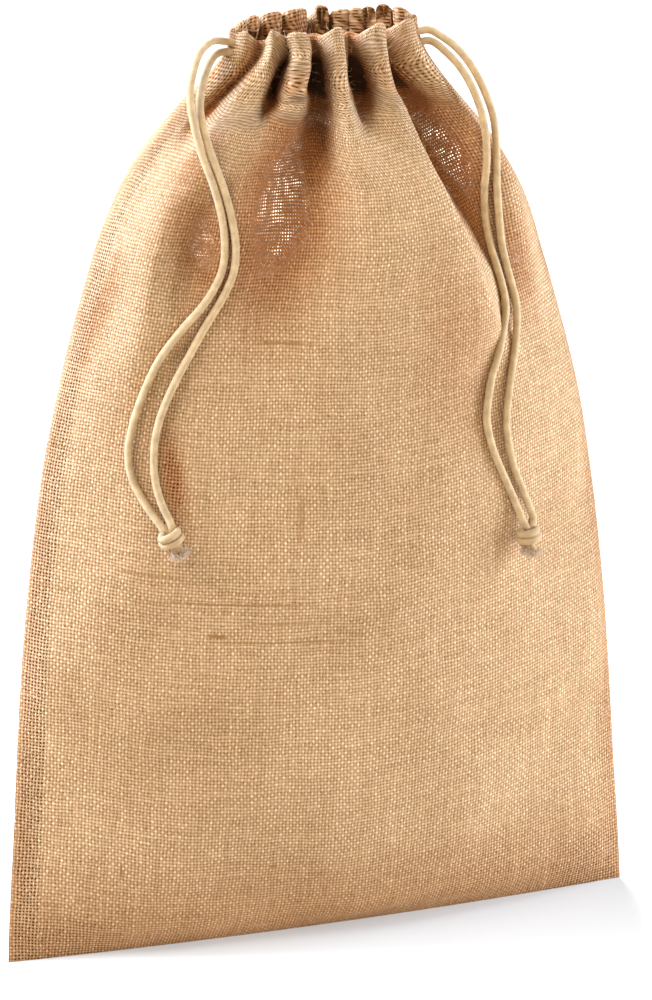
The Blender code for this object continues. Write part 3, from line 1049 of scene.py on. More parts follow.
        # Painted shade: the deepest hollows and gaps turn near black.
        black = graph.fit(painted_shade_and_wear, *self.black_band, 0.0, self.black_share)
        height = cloth["Height"]
        fuzzy = graph.place(parts.fuzz, Place=place, Scale=3200.0, Roughness=0.6, Share=0.16, Height=height)
        graph.feed(surface.inputs["Base Color"], graph.blend(black, colour, self.inside))
        graph.feed(surface.inputs["Alpha"], graph.minus(1.0, graph.times(gap, sheer), clamp=True))
        # Painted glow on the inner face in the gaps, standing in for light through the cloth.
        graph.feed(surface.inputs["Emission Strength"], self.glowing(graph, gap, cloth["Chance"]))
        graph.relief(surface, fuzzy["Height"], self.relief, 1.0)
        return material


@dataclass(frozen=True)
class CottonFinish:
    """Woven cotton skin of the drawcords and their knots.

    Attributes:
        body: Colour on the plait's crowns.
        shade: Colour between them.
        plait: Length of one stitch of the skin.
        relief: Depth of its relief.
    """

    name: str
    body: Colour
    shade: Colour
    plait: float = 0.42 * MM
    relief: float = 0.12 * MM
    roughness: float = 0.80

    def build(self, parts: ShaderParts) -> Material:
        """Make the material, whose pattern follows the cord.

        Args:
            parts: The shared groups.

        Returns:
            The material.
        """
        settings = {"Roughness": self.roughness, "Specular_IOR_Level": 0.25, "Sheen_Weight": 0.15}
        graph, material, surface = Graph.material(self.name, **settings)
        place = graph.add("ShaderNodeUVMap", uv_map="skin").outputs[0]
        along, around, _ = graph.split(place)
        strands = []
        for slanted in (graph.math("ADD", along, around), graph.minus(along, around)):
            strands.append(graph.math("SINE", graph.times(graph.over(slanted, self.plait), pi)))
        plait = graph.times_plus(graph.times(*strands), 0.5, 0.5)
        colour = graph.blend(graph.fit(plait, 0.0, 0.75), self.shade, self.body)
        patch = graph.place(parts.patchiness, Place=place, Scale=240.0, Detail=3.0, Dark=0.80, Light=1.12)
        tone = patch["Straight"]
        fuzzy = graph.place(parts.fuzz, Place=place, Scale=4200.0, Share=0.5, Height=plait)
        graph.feed(surface.inputs["Base Color"], graph.tinted(colour, graph.join(tone, tone, tone)))
        graph.relief(surface, fuzzy["Height"], self.relief, 0.8)
        return material


@dataclass(frozen=True)
class FibreFinish:
    """Loose fibres: a colour that varies from place to place."""

    name: str
    light: Colour
    dark: Colour
    roughness: float = 0.85

    def build(self, parts: ShaderParts) -> Material:
        """Make the fibres' material.

        Args:
            parts: The shared groups.

        Returns:
            The material.
        """
        settings = {"Roughness": self.roughness, "Specular_IOR_Level": 0.2}
        graph, material, surface = Graph.material(self.name, **settings)
        place = graph.add("ShaderNodeTexCoord").outputs["Object"]
        patch = graph.place(parts.patchiness, Place=place, Scale=700.0, Low=0.35, High=0.65)
        graph.feed(surface.inputs["Base Color"], graph.blend(patch["Smooth"], self.dark, self.light))
        return material


# --------------------------------------------------------------------------- meshes


def linked(name: str, data: object) -> Piece:
    """Return a new object of the scene that shows some data."""
    made = bpy.data.objects.new(name, data)
    bpy.context.scene.collection.objects.link(made)
    return made


def grid_faces(rows: int, columns: int, flipped: bool) -> list[list[int]]:
    """List the quads of a grid of vertices, row by row.

    Args:
        rows: Rows of vertices.
        columns: Vertices in each row.
        flipped: Whether the faces look the other way.

    Returns:
        The vertex numbers of each quad.
    """
    starts = [row * columns + column for row in range(rows - 1) for column in range(columns - 1)]
    quads = [[start, start + 1, start + columns + 1, start + columns] for start in starts]
    return [quad[::-1] for quad in quads] if flipped else quads


def make_mesh_object(name: str, points: Array, faces: list[list[int]], material: Material) -> Piece:
    """Link a smooth shaded object.

    Args:
        name: The object's name.
        points: Vertices in metres.
        faces: Vertex numbers of each face.
        material: Its only material.

    Returns:
        The object.
    """
    mesh = bpy.data.meshes.new(name)
    mesh.from_pydata([tuple(point) for point in points], [], faces)
    mesh.materials.append(material)
    mesh.shade_smooth()
    return linked(name, mesh)


def give_uv(mesh: bpy.types.Mesh, layer: str, flat: Array) -> None:
    """Give each corner of a mesh its vertex's place on the flat cloth.

    Args:
        mesh: The mesh.
        layer: The UV layer's name.
        flat: The place of each vertex, in metres.
    """
    corners = np.empty(len(mesh.loops), dtype=np.int32)
    mesh.loops.foreach_get("vertex_index", corners)
    uv = mesh.uv_layers.new(name=layer)
    uv.data.foreach_set("uv", flat[corners].astype(np.float32).ravel())


def give_mask(mesh: bpy.types.Mesh, name: str, values: Array) -> None:
    """Give each vertex of a mesh one number from 0 to 1."""
    mask = mesh.attributes.new(name, "FLOAT", "POINT")
    mask.data.foreach_set("value", np.clip(values, 0.0, 1.0).astype(np.float32).ravel())


def soft_noise(u: Array, v: Array, waves: Span, seed: int) -> Array:
    """Work out smooth noise of about -1 to 1 over a flat cloth.

    Args:
        u: Places across, in millimetres.
        v: Places along, in millimetres.
        waves: Shortest and longest wavelength, in millimetres.
        seed: Picks the pattern.

    Returns:
        The noise at each place.
    """
    wave_count, strength = 26, 1.1
    random = np.random.default_rng(seed)
    total = np.zeros_like(u)
    weight = 0.0
    for _ in range(wave_count):
        wave = waves[0] * (waves[1] / waves[0]) ** random.random()
        turn, phase = random.uniform(0.0, tau, 2)
        total += wave * np.sin(tau * (u * cos(turn) + v * sin(turn)) / wave + phase)
        weight += wave * wave
    return total / np.sqrt(weight) * strength


@dataclass(frozen=True)
class ClothPlaces:
    """Where the points of a panel's grid lie, in millimetres.

    Attributes:
        u: Place across the flat cloth from its left seam.
        height: Height before the sack leans.
        lift: How far the folds lift the cloth.
        width: Width of the flat cloth.
    """

    u: Array
    height: Array
    lift: Array
    width: float

    def edge(self) -> Array:
        """Return the distance to the nearer side seam."""
        return np.minimum(self.u, self.width - self.u)

    def above(self, start: float, end: float) -> Array:
        """Rise from 0 at one height to 1 at the other."""
        return ease(start, end, self.height)

    def below(self, start: float, end: float) -> Array:
        """Fall from 1 at one height to 0 at the other."""
        return 1.0 - ease(start, end, self.height)

    def strongest(self, patches: Sequence[Patch], grown: float = 1.0) -> Array:
        """Return the strongest of some patches at each point."""
        return np.max([patch.mask(self.u, self.height, grown) for patch in patches], axis=0)


@dataclass
class ClothPanel:
    """One cut and sewn panel: its body, the strip under the sack, and its turned hem.

    Lengths are in millimetres. A pair is where an effect starts and where it is complete.

    Attributes:
        stand_off: How far the cloth's outside stands off the middle of its thickness.
        hem_radius: Radius of the roll round the mouth.
        strip_rows: Rows of the grid under the sack.
        pressing: Points of the cords that lie on the panel, in metres.
        press_gap: How far the cloth stays from a cord's middle.
        even_rows: Heights over which the weft turns even from fold to fold.
        mouth_glow: Heights over which the inside starts to take its painted glow.
    """

    name: str
    side: Side
    body: SackBody
    columns: int = 321
    width: float = 300.0
    stand_off: float = 0.6
    hem_radius: float = 1.7
    hem_depth: float = 20.0
    hem_turns: int = 7
    strip_rows: int = 8
    seed: int = 5
    pressing: Sequence[Array] = ()
    press_reach: float = 9.0
    press_gap: float = 2.0
    press_end: Span = (345.0, 378.0)
    ripple_waves: Span = (40.0, 130.0)
    belly_waves: Span = (30.0, 90.0)
    seam_calm: Span = (0.0, 12.0)
    foot_calm: Span = (0.0, 16.0)
    even_rows: Span = (320.0, 350.0)
    sheer_band: Span = (0.28, 0.82)
    mouth_glow: Span = (225.0, 262.0)
    mouth_dark: Span = (356.0, 372.0)

    def levels(self) -> Array:
        """Return the heights of the rows, closer together towards the mouth."""
        belly, shoulder = np.arange(0.0, 280.0, 3.0), np.arange(280.0, 350.0, 2.0)
        return np.concatenate([belly, shoulder, np.linspace(350.0, self.body.rim_height, 54)])

    def normals(self, points: Array) -> Array:
        """Return the unit normals of a grid of points, pointing out of the sack."""
        normals = np.cross(np.gradient(points, axis=1), np.gradient(points, axis=0)) * -self.side.value
        return normals / np.linalg.norm(normals, axis=2, keepdims=True)

    def lie_under(self, points: Array, normals: Array) -> Array:
        """Bring the cloth to the cords that lie on it, and leave them free near the mouth.

        Args:
            points: The panel's grid.
            normals: Its unit normals.

        Returns:
            The grid, pushed in or out along its normals near the cords.
        """
        never_zero = 1.0e-9
        flat, outward = points.reshape(-1, 3), normals.reshape(-1, 3)
        weight, push = np.full(len(flat), never_zero), np.zeros(len(flat))
        peak = np.zeros(len(flat))
        for centre in (centre for line in self.pressing for centre in line):
            distances = np.sum((flat - centre) ** 2, axis=1)
            nearest = int(np.argmin(distances))
            gap = float((centre - flat[nearest]) @ outward[nearest]) / MM - self.press_gap
            if gap > 0.0:
                gap *= 1.0 - float(ease(*self.press_end, centre[2] / MM))
            away = np.sum((flat - flat[nearest]) ** 2, axis=1) / (self.press_reach * MM) ** 2
            share = np.exp(-away)
            weight += share
            push += share * gap
            peak = np.maximum(peak, share)
        push = push / weight * np.sqrt(peak)
        return points + normals * (push.reshape(points.shape[:2])[..., None] * MM)

    def openness(self, places: ClothPlaces) -> Array:
        """Work out how open the weave is.

        Args:
            places: The panel's points.

        Returns:
            The openness at each point, from 0 where the weave is tight to 1 where it is slack.
        """
        left_band, right_band, corner_share, neck_share = 0.92, 0.45, 0.65, 0.62
        belly_mean, belly_swing, slack_growth = 0.14, 0.10, 1.3
        u, edge = places.u, places.edge()
        band = ease(1.6, 2.6, edge) * (1.0 - ease(11.0, 15.0, edge))
        left = places.below(14.0, 28.0) * (1.0 - ease(35.0, 60.0, u))
        right = places.below(20.0, 40.0) * ease(250.0, 275.0, u)
        corner = np.maximum(left, right) * ease(1.0, 2.5, edge)
        neck = neck_share * places.above(345.0, 385.0)
        belly = belly_mean + belly_swing * soft_noise(u, places.height, self.belly_waves, self.seed + 3)
        band = band * mix(left_band, right_band, u > 0.5 * self.width)
        slack = self.slack(places, slack_growth)
        return np.max([belly, band, corner_share * corner, neck, self.worn(places), slack], axis=0)

    def worn(self, places: ClothPlaces) -> Array:
        """Return how loose and brown the weave is in the worn patches of the front."""
        return float(self.side is Side.FRONT) * places.strongest(WORN_PATCHES)

    def slack(self, places: ClothPlaces, grown: float) -> Array:
        """Work out how slack the cloth is in its see-through patches and at its gaps' feet.

        Args:
            places: The panel's points.
            grown: How many times their reaches the patches have.

        Returns:
            The slackness at each point, from 0 to 1.
        """
        back_slack = 0.5
        if self.side is Side.BACK:
            return back_slack * places.above(260.0, 300.0)
        gaps = ease(4.0, 9.0, -places.lift) * places.above(374.0, 381.0) * places.below(387.0, 393.0)
        return np.maximum(gaps, places.strongest(SLACK_PATCHES, grown))

    def sheerness(self, places: ClothPlaces) -> Array:
        """Return how far light passes between the yarns at each point, from 0 to 1."""
        sheer = ease(*self.sheer_band, self.slack(places, 1.0))
        return sheer if self.side is Side.FRONT else np.zeros_like(sheer)

    def painted_glow(self, places: ClothPlaces) -> Array:
        """Return how far the back panel's inside takes the painted glow that stands in for the light behind
        it, from 0 to 1.
        """
        glow = places.above(*self.mouth_glow) * places.below(*self.mouth_dark)
        return glow if self.side is Side.BACK else np.zeros_like(glow)

    def painted_shade_and_wear(self, places: ClothPlaces) -> Array:
        """Work out where the cloth is darkened: painted shade at the foot, in the troughs and deep gaps,
        round the slack patches and in the shaded patches, darker towards the side seams, and the real brown
        of the worn patches.

        Args:
            places: The panel's points.

        Returns:
            The darkening at each point, from 0 to 1.
        """
        foot_share, side_share, trough_share, slack_share, worn_share = 0.20, 0.20, 0.50, 0.54, 0.52
        slack_growth, slack_strength = 1.42, 1.2
        front = self.side is Side.FRONT
        foot = foot_share * places.below(2.0, 60.0)
        side = side_share * (1.0 - ease(2.0, 14.0, places.edge()))
        trough = trough_share * ease(1.0, 13.0, -places.lift) * places.above(270.0, 325.0)
        slack = slack_share * np.clip(slack_strength * self.slack(places, slack_growth), 0.0, 1.0) * front
        depth = ease(8.0, 14.0, -places.lift) * places.above(381.0, 390.0) * places.below(406.0, 412.0)
        shaded = places.strongest(SHADED_PATCHES) * front
        return np.max([foot, side, trough, slack, depth, worn_share * self.worn(places), shaded], axis=0)

    def build(self, material: Material) -> Piece:
        """Make the panel as one sheet.

        Args:
            material: The cloth's material.

        Returns:
            The panel, with its place on the flat cloth and the masks of its finish.
        """
        levels = self.levels()
        points, lift, u = self.body.sheet(self.side, levels, self.columns)
        height = np.broadcast_to(levels[:, None], lift.shape)
        places = ClothPlaces(u, height, lift, self.width)
        normals = self.normals(points)
        calm = ease(*self.seam_calm, places.edge()) * places.above(*self.foot_calm)
        ripple = soft_noise(u, height, self.ripple_waves, self.seed) * self.body.wrinkle
        points = points + normals * ((ripple * calm + self.stand_off * calm)[..., None] * MM)
        points = self.lie_under(points, self.normals(points))
        points = self.with_hem(points, self.normals(points))
        hem_rows = len(points) - len(levels)
        turned = np.linspace(levels[-1], levels[-1] - self.hem_depth, hem_rows)
        points = np.concatenate([self.ground_strip(points[0]), points])
        levels = np.concatenate([np.zeros(self.strip_rows), levels, turned])
        flat_strip = np.zeros((self.strip_rows, self.columns))
        lift = np.concatenate([flat_strip, lift, lift[-1:].repeat(hem_rows, axis=0)])
        u = np.concatenate([u[:1].repeat(self.strip_rows, axis=0), u, u[-1:].repeat(hem_rows, axis=0)])
        height = np.broadcast_to(levels[:, None], lift.shape)
        steps = np.linalg.norm(np.diff(points, axis=0), axis=2)
        shared = np.median(steps, axis=1, keepdims=True)
        steps = mix(steps, shared, ease(*self.even_rows, height[1:]))
        v = np.concatenate([np.zeros((1, self.columns)), np.cumsum(steps, axis=0)])
        faces = grid_faces(len(levels), self.columns, self.side is Side.BACK)
        panel = make_mesh_object(self.name + "_cloth", points.reshape(-1, 3), faces, material)
        give_uv(panel.data, "cloth", np.stack([u.ravel() * MM, v.ravel()], axis=1))
        places = ClothPlaces(u, height, lift, self.width)
        for mask in (self.openness, self.painted_shade_and_wear, self.sheerness, self.painted_glow):
            give_mask(panel.data, mask.__name__, mask(places))
        return panel

    def ground_strip(self, base_edge: Array) -> Array:
        """Lay the rows under the sack, from the bottom seam out to the base's edge.

        Args:
            base_edge: The lowest row of the panel, in metres.

        Returns:
            The rows.
        """
        seam = base_edge.copy()
        seam[:, 1] = self.body.seam_plane_y * MM
        return np.stack([mix(seam, base_edge, step / self.strip_rows) for step in range(self.strip_rows)])

    def with_hem(self, points: Array, normals: Array) -> Array:
        """Roll the cloth over at the mouth and turn it down inside.

        Args:
            points: The panel's grid up to the rim.
            normals: Its unit normals.

        Returns:
            The grid with the hem's rows added.
        """
        radius = self.hem_radius * MM
        up = points[-1] - points[-3]
        up /= np.linalg.norm(up, axis=1, keepdims=True)
        centre = points[-1] - normals[-1] * radius
        turns = [pi * step / self.hem_turns for step in range(1, self.hem_turns + 1)]
        rolled = [centre + (normals[-1] * cos(turn) + up * sin(turn)) * radius for turn in turns]
        inner = points - normals * (2.0 * radius)
        travelled = running_length(*points[::-1, 0].T)
        turned = [inner[-1 - row] for row in range(1, len(points)) if travelled[row] <= self.hem_depth * MM]
        return np.concatenate([points, np.stack(rolled + turned)])


# --------------------------------------------------------------------------- cords and knots


def smooth_route(points: Route, count: int) -> Array:
    """Run a smooth curve through a route.

    Args:
        points: The route's points.
        count: How many points to return.

    Returns:
        Evenly spaced points of the curve.
    """
    samples_between = 40
    route = np.array([points[0], *points, points[-1]], dtype=float)
    t = np.linspace(0.0, 1.0, samples_between, endpoint=False)[:, None]
    pieces = [
        0.5 * (2 * b + (c - a) * t + (2 * a - 5 * b + 4 * c - d) * t**2 + (3 * b - a - 3 * c + d) * t**3)
        for a, b, c, d in zip(route, route[1:], route[2:], route[3:])
    ]
    curve = np.concatenate([*pieces, route[-1:]])
    travelled = running_length(*curve.T)
    even = np.linspace(0.0, travelled[-1], count)
    return np.stack([np.interp(even, travelled, column) for column in curve.T], axis=1)


def sweep(centres: Array, radius: float, sides: int) -> tuple[Array, list[list[int]], Array]:
    """Sweep a round tube along its ring centres, with closed ends.

    Args:
        centres: Ring centres in metres.
        radius: The tube's radius.
        sides: Sides of each ring.

    Returns:
        The points, the faces, and each point's place along and around the tube in metres.
    """
    ahead = np.gradient(centres, axis=0)
    ahead /= np.linalg.norm(ahead, axis=1, keepdims=True)
    side = Vector(ahead[0]).orthogonal().normalized()
    turns = np.linspace(0.0, tau, sides, endpoint=False)
    travelled = running_length(*centres.T)
    points, flat, faces = [], [], []
    for centre, direction, along in zip(centres, ahead, travelled):
        direction = Vector(direction)
        side = (side - direction * side.dot(direction)).normalized()
        other = direction.cross(side)
        for turn in turns:
            points.append(Vector(centre) + (side * cos(turn) + other * sin(turn)) * radius)
            flat.append((along, abs(turn - pi) * radius))
    last_ring = (len(centres) - 1) * sides
    for start in range(0, last_ring, sides):
        for place in range(sides):
            after = (place + 1) % sides
            faces.append([start + place, start + after, start + sides + after, start + sides + place])
    for start, ring, flipped in ((0, 0, True), (last_ring, -1, False)):
        hub = len(points)
        points.append(Vector(centres[ring]))
        flat.append((travelled[ring], 0.0))
        for place in range(sides):
            wedge = [start + place, start + (place + 1) % sides, hub]
            faces.append(wedge[::-1] if flipped else wedge)
    return np.array(points), faces, np.array(flat)


@dataclass
class DrawCord:
    """One hanging tail of drawcord, from inside the hem down to its knot.

    Attributes:
        tucked: Where it comes from inside the hem, before the sack leans, in millimetres.
        landing: Where it ends inside the knot.
    """

    name: str
    tucked: Point
    landing: Point
    route: Route
    diameter: float = 3.4
    rings: int = 200
    sides: int = 20

    def centres(self) -> Array:
        """Return the ring centres in metres."""
        return lean_back(smooth_route([self.tucked, *self.route, self.landing], self.rings)) * MM

    def exit(self) -> Array:
        """Return the point where the cord leaves the hem, in metres."""
        return lean_back(self.route[0]) * MM

    def length(self) -> float:
        """Return the cord's length in metres."""
        return float(running_length(*self.centres().T)[-1])

    def build(self, material: Material) -> Piece:
        """Make the cord as a round tube.

        Args:
            material: The cord's material.

        Returns:
            The cord.
        """
        points, faces, flat = sweep(self.centres(), 0.5 * self.diameter * MM, self.sides)
        cord = make_mesh_object(self.name + "_tail", points, faces, material)
        give_uv(cord.data, "skin", flat)
        return cord


@dataclass
class OverhandKnot:
    """Two tails tied together: wound turns, the strands going in, and the cut ends.

    Attributes:
        centre: Middle of the knot before the sack leans, in millimetres.
        tilt: How steeply the turns rise to the right, in degrees.
        ends: Where the two cut ends stop, from the centre.
        entries: Where the two tails come in, from the centre.
        pitch: How far the cord moves on with each turn.
        reach: How wide and how deep the turns are.
        tuck_share: Share of the winding at each end that tucks in.
    """

    name: str
    centre: Point
    tilt: float
    ends: Sequence[Point]
    entries: Sequence[Point]
    turns: float = 2.1
    pitch: float = 3.25
    reach: Span = (4.2, 3.5)
    start: float = 150.0
    tuck_share: float = 0.09
    tuck_depth: float = 0.55
    radius: float = 1.72
    sides: int = 18
    rings: int = 110
    strand_rings: int = 26

    def placed(self, points: Array) -> Array:
        """Return points given from the knot's centre as metres on the standing sack."""
        return lean_back(np.asarray(points) + np.array(self.centre)) * MM

    def winding(self) -> Array:
        """Wind the turns.

        Returns:
            Their line from the knot's centre, its ends tucked in.
        """
        share = np.linspace(0.0, 1.0, self.rings)
        turn = tau * self.turns * share + radians(self.start)
        free = ease(0.0, self.tuck_share, share) * ease(0.0, self.tuck_share, 1.0 - share)
        tuck = 1.0 - self.tuck_depth * (1.0 - free)
        x = self.reach[0] * np.cos(turn) * tuck
        y = self.reach[1] * np.sin(turn) * tuck
        z = self.pitch * self.turns * (0.5 - share)
        lean = radians(self.tilt)
        return np.stack([x * cos(lean) - z * sin(lean), y, x * sin(lean) + z * cos(lean)], axis=1)

    def lines(self) -> list[Array]:
        """Draw the knot's lines.

        Returns:
            The turns, the strands going in and the cut ends, from the knot's centre.
        """
        core, entry_bend, end_bend = (0.0, 0.3, 0.0), (0.45, 0.6, 0.6), (0.4, 0.5, 0.5)
        routes = [(entry, tuple(np.multiply(entry_bend, entry)), core) for entry in self.entries]
        routes += [(core, tuple(np.multiply(end_bend, end)), end) for end in self.ends]
        return [self.winding(), *(smooth_route(route, self.strand_rings) for route in routes)]

    def build(self, material: Material) -> Piece:
        """Make the knot as one mesh.

        Args:
            material: The cord's material.

        Returns:
            The knot.
        """
        points, faces, flat = [], [], []
        for line in self.lines():
            made, made_faces, made_flat = sweep(self.placed(line), self.radius * MM, self.sides)
            start = sum(len(part) for part in points)
            faces += [[corner + start for corner in face] for face in made_faces]
            points.append(made)
            flat.append(made_flat)
        knot = make_mesh_object(self.name + "_turns", np.concatenate(points), faces, material)
        give_uv(knot.data, "skin", np.concatenate(flat))
        return knot

    def end_discs(self) -> Piece:
        """Make the cut faces of the two ends, which the fringe grows on.

        Returns:
            The discs.
        """
        points, faces = [], []
        for end in self.ends:
            tip = Vector(self.placed(end))
            ahead = (tip - Vector(self.placed((0.0, 0.0, 0.0)))).normalized()
            side = ahead.orthogonal().normalized()
            other = ahead.cross(side)
            start = len(points)
            for place in range(self.sides):
                turn = tau * place / self.sides
                points.append(tip + (side * cos(turn) + other * sin(turn)) * self.radius * MM)
            faces.append(list(range(start, len(points))))
        mesh = bpy.data.meshes.new(self.name + "_ends")
        mesh.from_pydata(points, [], faces)
        return linked(self.name + "_ends", mesh)


# --------------------------------------------------------------------------- loose fibres


def fibre_tree() -> Tree:
    """Build the Geometry Nodes tree that grows short bent fibres on a surface.

    Returns:
        The tree. Foot is the height from which fibres grow.
    """
    line_steps, ring_sides, least_size, spin_seed, size_seed = 4, 3, 0.35, 3, 7
    geometry = "NodeSocketGeometry"
    inputs = {
        "Geometry": (geometry, None),
        "Density": (FLOAT, 20000.0),
        "Length": (FLOAT, 0.004),
        "Radius": (FLOAT, 0.00006),
        "Spread": (FLOAT, 1.2),
        "Curl": (FLOAT, 0.4),
        "Foot": (FLOAT, 0.006),
        "Seed": (INTEGER, 1),
        "Material": ("NodeSocketMaterial", None),
    }
    graph = Graph.group("loose_fibres", inputs, {"Geometry": geometry}, "GeometryNodeTree")
    ground, density, length, radius, spread, curl, foot, seed, material = (
        graph.source[name] for name in inputs
    )
    _, _, height = graph.split(graph.add("GeometryNodeInputPosition").outputs[0])
    above = graph.math("GREATER_THAN", height, foot)
    scattered = {"Mesh": ground, "Density": density, "Seed": seed, "Selection": above}
    scatter = graph.add("GeometryNodeDistributePointsOnFaces", scattered, distribute_method="RANDOM").outputs
    bent = {
        "Resolution": line_steps,
        "Start": (0.0, 0.0, 0.0),
        "Middle": graph.join(graph.times(curl, -0.5), 0.0, 0.5),
        "End": graph.join(curl, 0.0, 0.9),
    }
    line = graph.add("GeometryNodeCurveQuadraticBezier", bent).outputs[0]
    scaled = {"Geometry": line, "Scale": graph.join(length, length, length)}
    line = graph.add("GeometryNodeTransform", scaled).outputs[0]
    circle = {"Resolution": ring_sides, "Radius": radius}
    ring = graph.add("GeometryNodeCurvePrimitiveCircle", circle).outputs[0]
    tube = {"Curve": line, "Profile Curve": ring, "Fill Caps": True}
    fibre = graph.add("GeometryNodeCurveToMesh", tube).outputs[0]
    spin_x, spin_y, spin_z = graph.split(graph.random((-1.0, -1.0, -3.2), (1.0, 1.0, 3.2), seed, spin_seed))
    bend = graph.join(graph.times(spin_x, spread), graph.times(spin_y, spread), spin_z)
    turn = {0: scatter["Rotation"], 1: bend}
    turned = graph.add("FunctionNodeRotateRotation", turn, rotation_space="LOCAL").outputs[0]
    grown = {
        "Points": scatter["Points"],
        "Instance": fibre,
        "Rotation": turned,
        "Scale": graph.join(1.0, 1.0, graph.random(least_size, 1.0, seed, size_seed)),
    }
    fibres = graph.add("GeometryNodeInstanceOnPoints", grown).outputs[0]
    real = graph.add("GeometryNodeRealizeInstances", {0: fibres}).outputs[0]
    painted = graph.add("GeometryNodeSetMaterial", {"Geometry": real, "Material": material}).outputs[0]
    graph.feed(graph.result["Geometry"], painted)
    return graph.tree


@dataclass
class FibreGrowth:
    """Fibres standing off a surface: hairs on the cloth, or the fringe of a cut cord.

    Attributes:
        density: Fibres for each square metre.
        spread: How far they turn away from the surface's normal, in radians.
        curl: How far they bend, as a share of their length.
    """

    name: str
    density: float
    length: float
    radius: float
    spread: float
    curl: float
    seed: int

    def grow(self, tree: Tree, ground: Piece, material: Material) -> Piece:
        """Grow the fibres on a surface and keep them as a mesh.

        Args:
            tree: The fibre tree.
            ground: The surface, which stays as it is.
            material: The fibres' material.

        Returns:
            The fibres' object.
        """
        bed = linked(self.name + "_bed", ground.data.copy())
        growth = bed.modifiers.new("fibres", "NODES")
        growth.node_group = tree
        values = {
            "Density": self.density,
            "Length": self.length * MM,
            "Radius": self.radius * MM,
            "Spread": self.spread,
            "Curl": self.curl,
            "Seed": self.seed,
            "Material": material,
        }
        for item in tree.interface.items_tree:
            if item.item_type == "SOCKET" and item.in_out == "INPUT" and item.name in values:
                growth[item.identifier] = values[item.name]
        shown = bed.evaluated_get(bpy.context.evaluated_depsgraph_get())
        mesh = bpy.data.meshes.new_from_object(shown)
        mesh.name = self.name
        bpy.data.objects.remove(bed)
        return linked(self.name, mesh)


# --------------------------------------------------------------------------- studio


class Lamp(NamedTuple):
    """A square soft lamp that faces the sack: its place, side, power in watts and colour."""

    name: str
    place: Point
    size: float
    power: float
    colour: tuple[float, float, float]


@dataclass
class Studio:
    """A pale table top in soft light, and the camera.

    Attributes:
        azimuth: How far round to the right the camera stands, in degrees, and to the left below 0.
        lens: Its focal length in millimetres, for a sensor of the given width.
        floor_reach: Half the width of the table top.
        lamps: A high key from the left, a strong cool fill low on the right, a cool rim from the
            back left, one from behind, and a weak warm one in front.
    """

    target: Point = (0.00285, -0.01575, 0.20248)
    azimuth: float = -19.0
    elevation: float = 19.0
    distance: float = 2.2
    lens: float = 178.13
    sensor: float = 36.0
    world_strength: float = 0.05
    floor_reach: float = 6.0
    floor_colour: Colour = (0.43, 0.40, 0.34, 1.0)
    floor_glow: float = 0.38
    lamps: Sequence[Lamp] = (
        Lamp("key", (-1.7, -0.3, 2.2), 1.4, 94.0, (0.94, 1.02, 1.18)),
        Lamp("fill", (2.4, -0.45, 0.5), 1.8, 158.0, (0.82, 1.02, 1.48)),
        Lamp("left_rim", (-2.2, 0.8, 1.6), 1.0, 140.0, (0.72, 1.02, 1.84)),
        Lamp("back", (0.0, 2.0, 1.9), 1.0, 112.0, (1.0, 1.0, 1.0)),
        Lamp("front", (0.4, -2.6, 0.6), 1.8, 26.0, (1.0, 0.95, 0.80)),
    )

    def aim(self, piece: Piece, place: Sequence[float], ahead: Vector) -> None:
        """Put a camera or a lamp in its place, looking ahead."""
        piece.location = place
        piece.rotation_euler = ahead.to_track_quat("-Z", "Y").to_euler()

    def camera(self) -> None:
        """Place the camera and make it the scene's."""
        data = bpy.data.cameras.new("camera")
        data.lens, data.sensor_width = self.lens, self.sensor
        camera = linked("camera", data)
        around, above = radians(self.azimuth), radians(self.elevation)
        back = Vector((sin(around) * cos(above), -cos(around) * cos(above), sin(above)))
        self.aim(camera, Vector(self.target) + back * self.distance, -back)
        bpy.context.scene.camera = camera

    def floor(self) -> None:
        """Lay the table top."""
        _, material, _ = Graph.material(
            "table_top",
            Base_Color=self.floor_colour,
            Emission_Color=WHITE,
            Emission_Strength=self.floor_glow,
            Roughness=0.9,
            Specular_IOR_Level=0.1,
        )
        signs = ((-1, -1), (1, -1), (1, 1), (-1, 1))
        corners = np.array([(x * self.floor_reach, y * self.floor_reach, 0.0) for x, y in signs])
        make_mesh_object("table_top", corners, [[0, 1, 2, 3]], material)

    def light(self) -> None:
        """Hang the lamps, and add a faint light from all round."""
        world = bpy.data.worlds.new("surround")
        world.use_nodes = True
        background = world.node_tree.nodes["Background"]
        background.inputs["Color"].default_value = WHITE
        background.inputs["Strength"].default_value = self.world_strength
        bpy.context.scene.world = world
        bpy.context.scene.view_settings.view_transform = "Standard"
        for lamp in self.lamps:
            data = bpy.data.lights.new(lamp.name, "AREA")
            data.color, data.size, data.energy = lamp.colour, lamp.size, lamp.power
            self.aim(linked(lamp.name, data), lamp.place, Vector(self.target) - Vector(lamp.place))

    def build(self) -> None:
        """Set up the table, the camera and the lights."""
        self.camera()
        self.floor()
        self.light()


# --------------------------------------------------------------------------- the sack


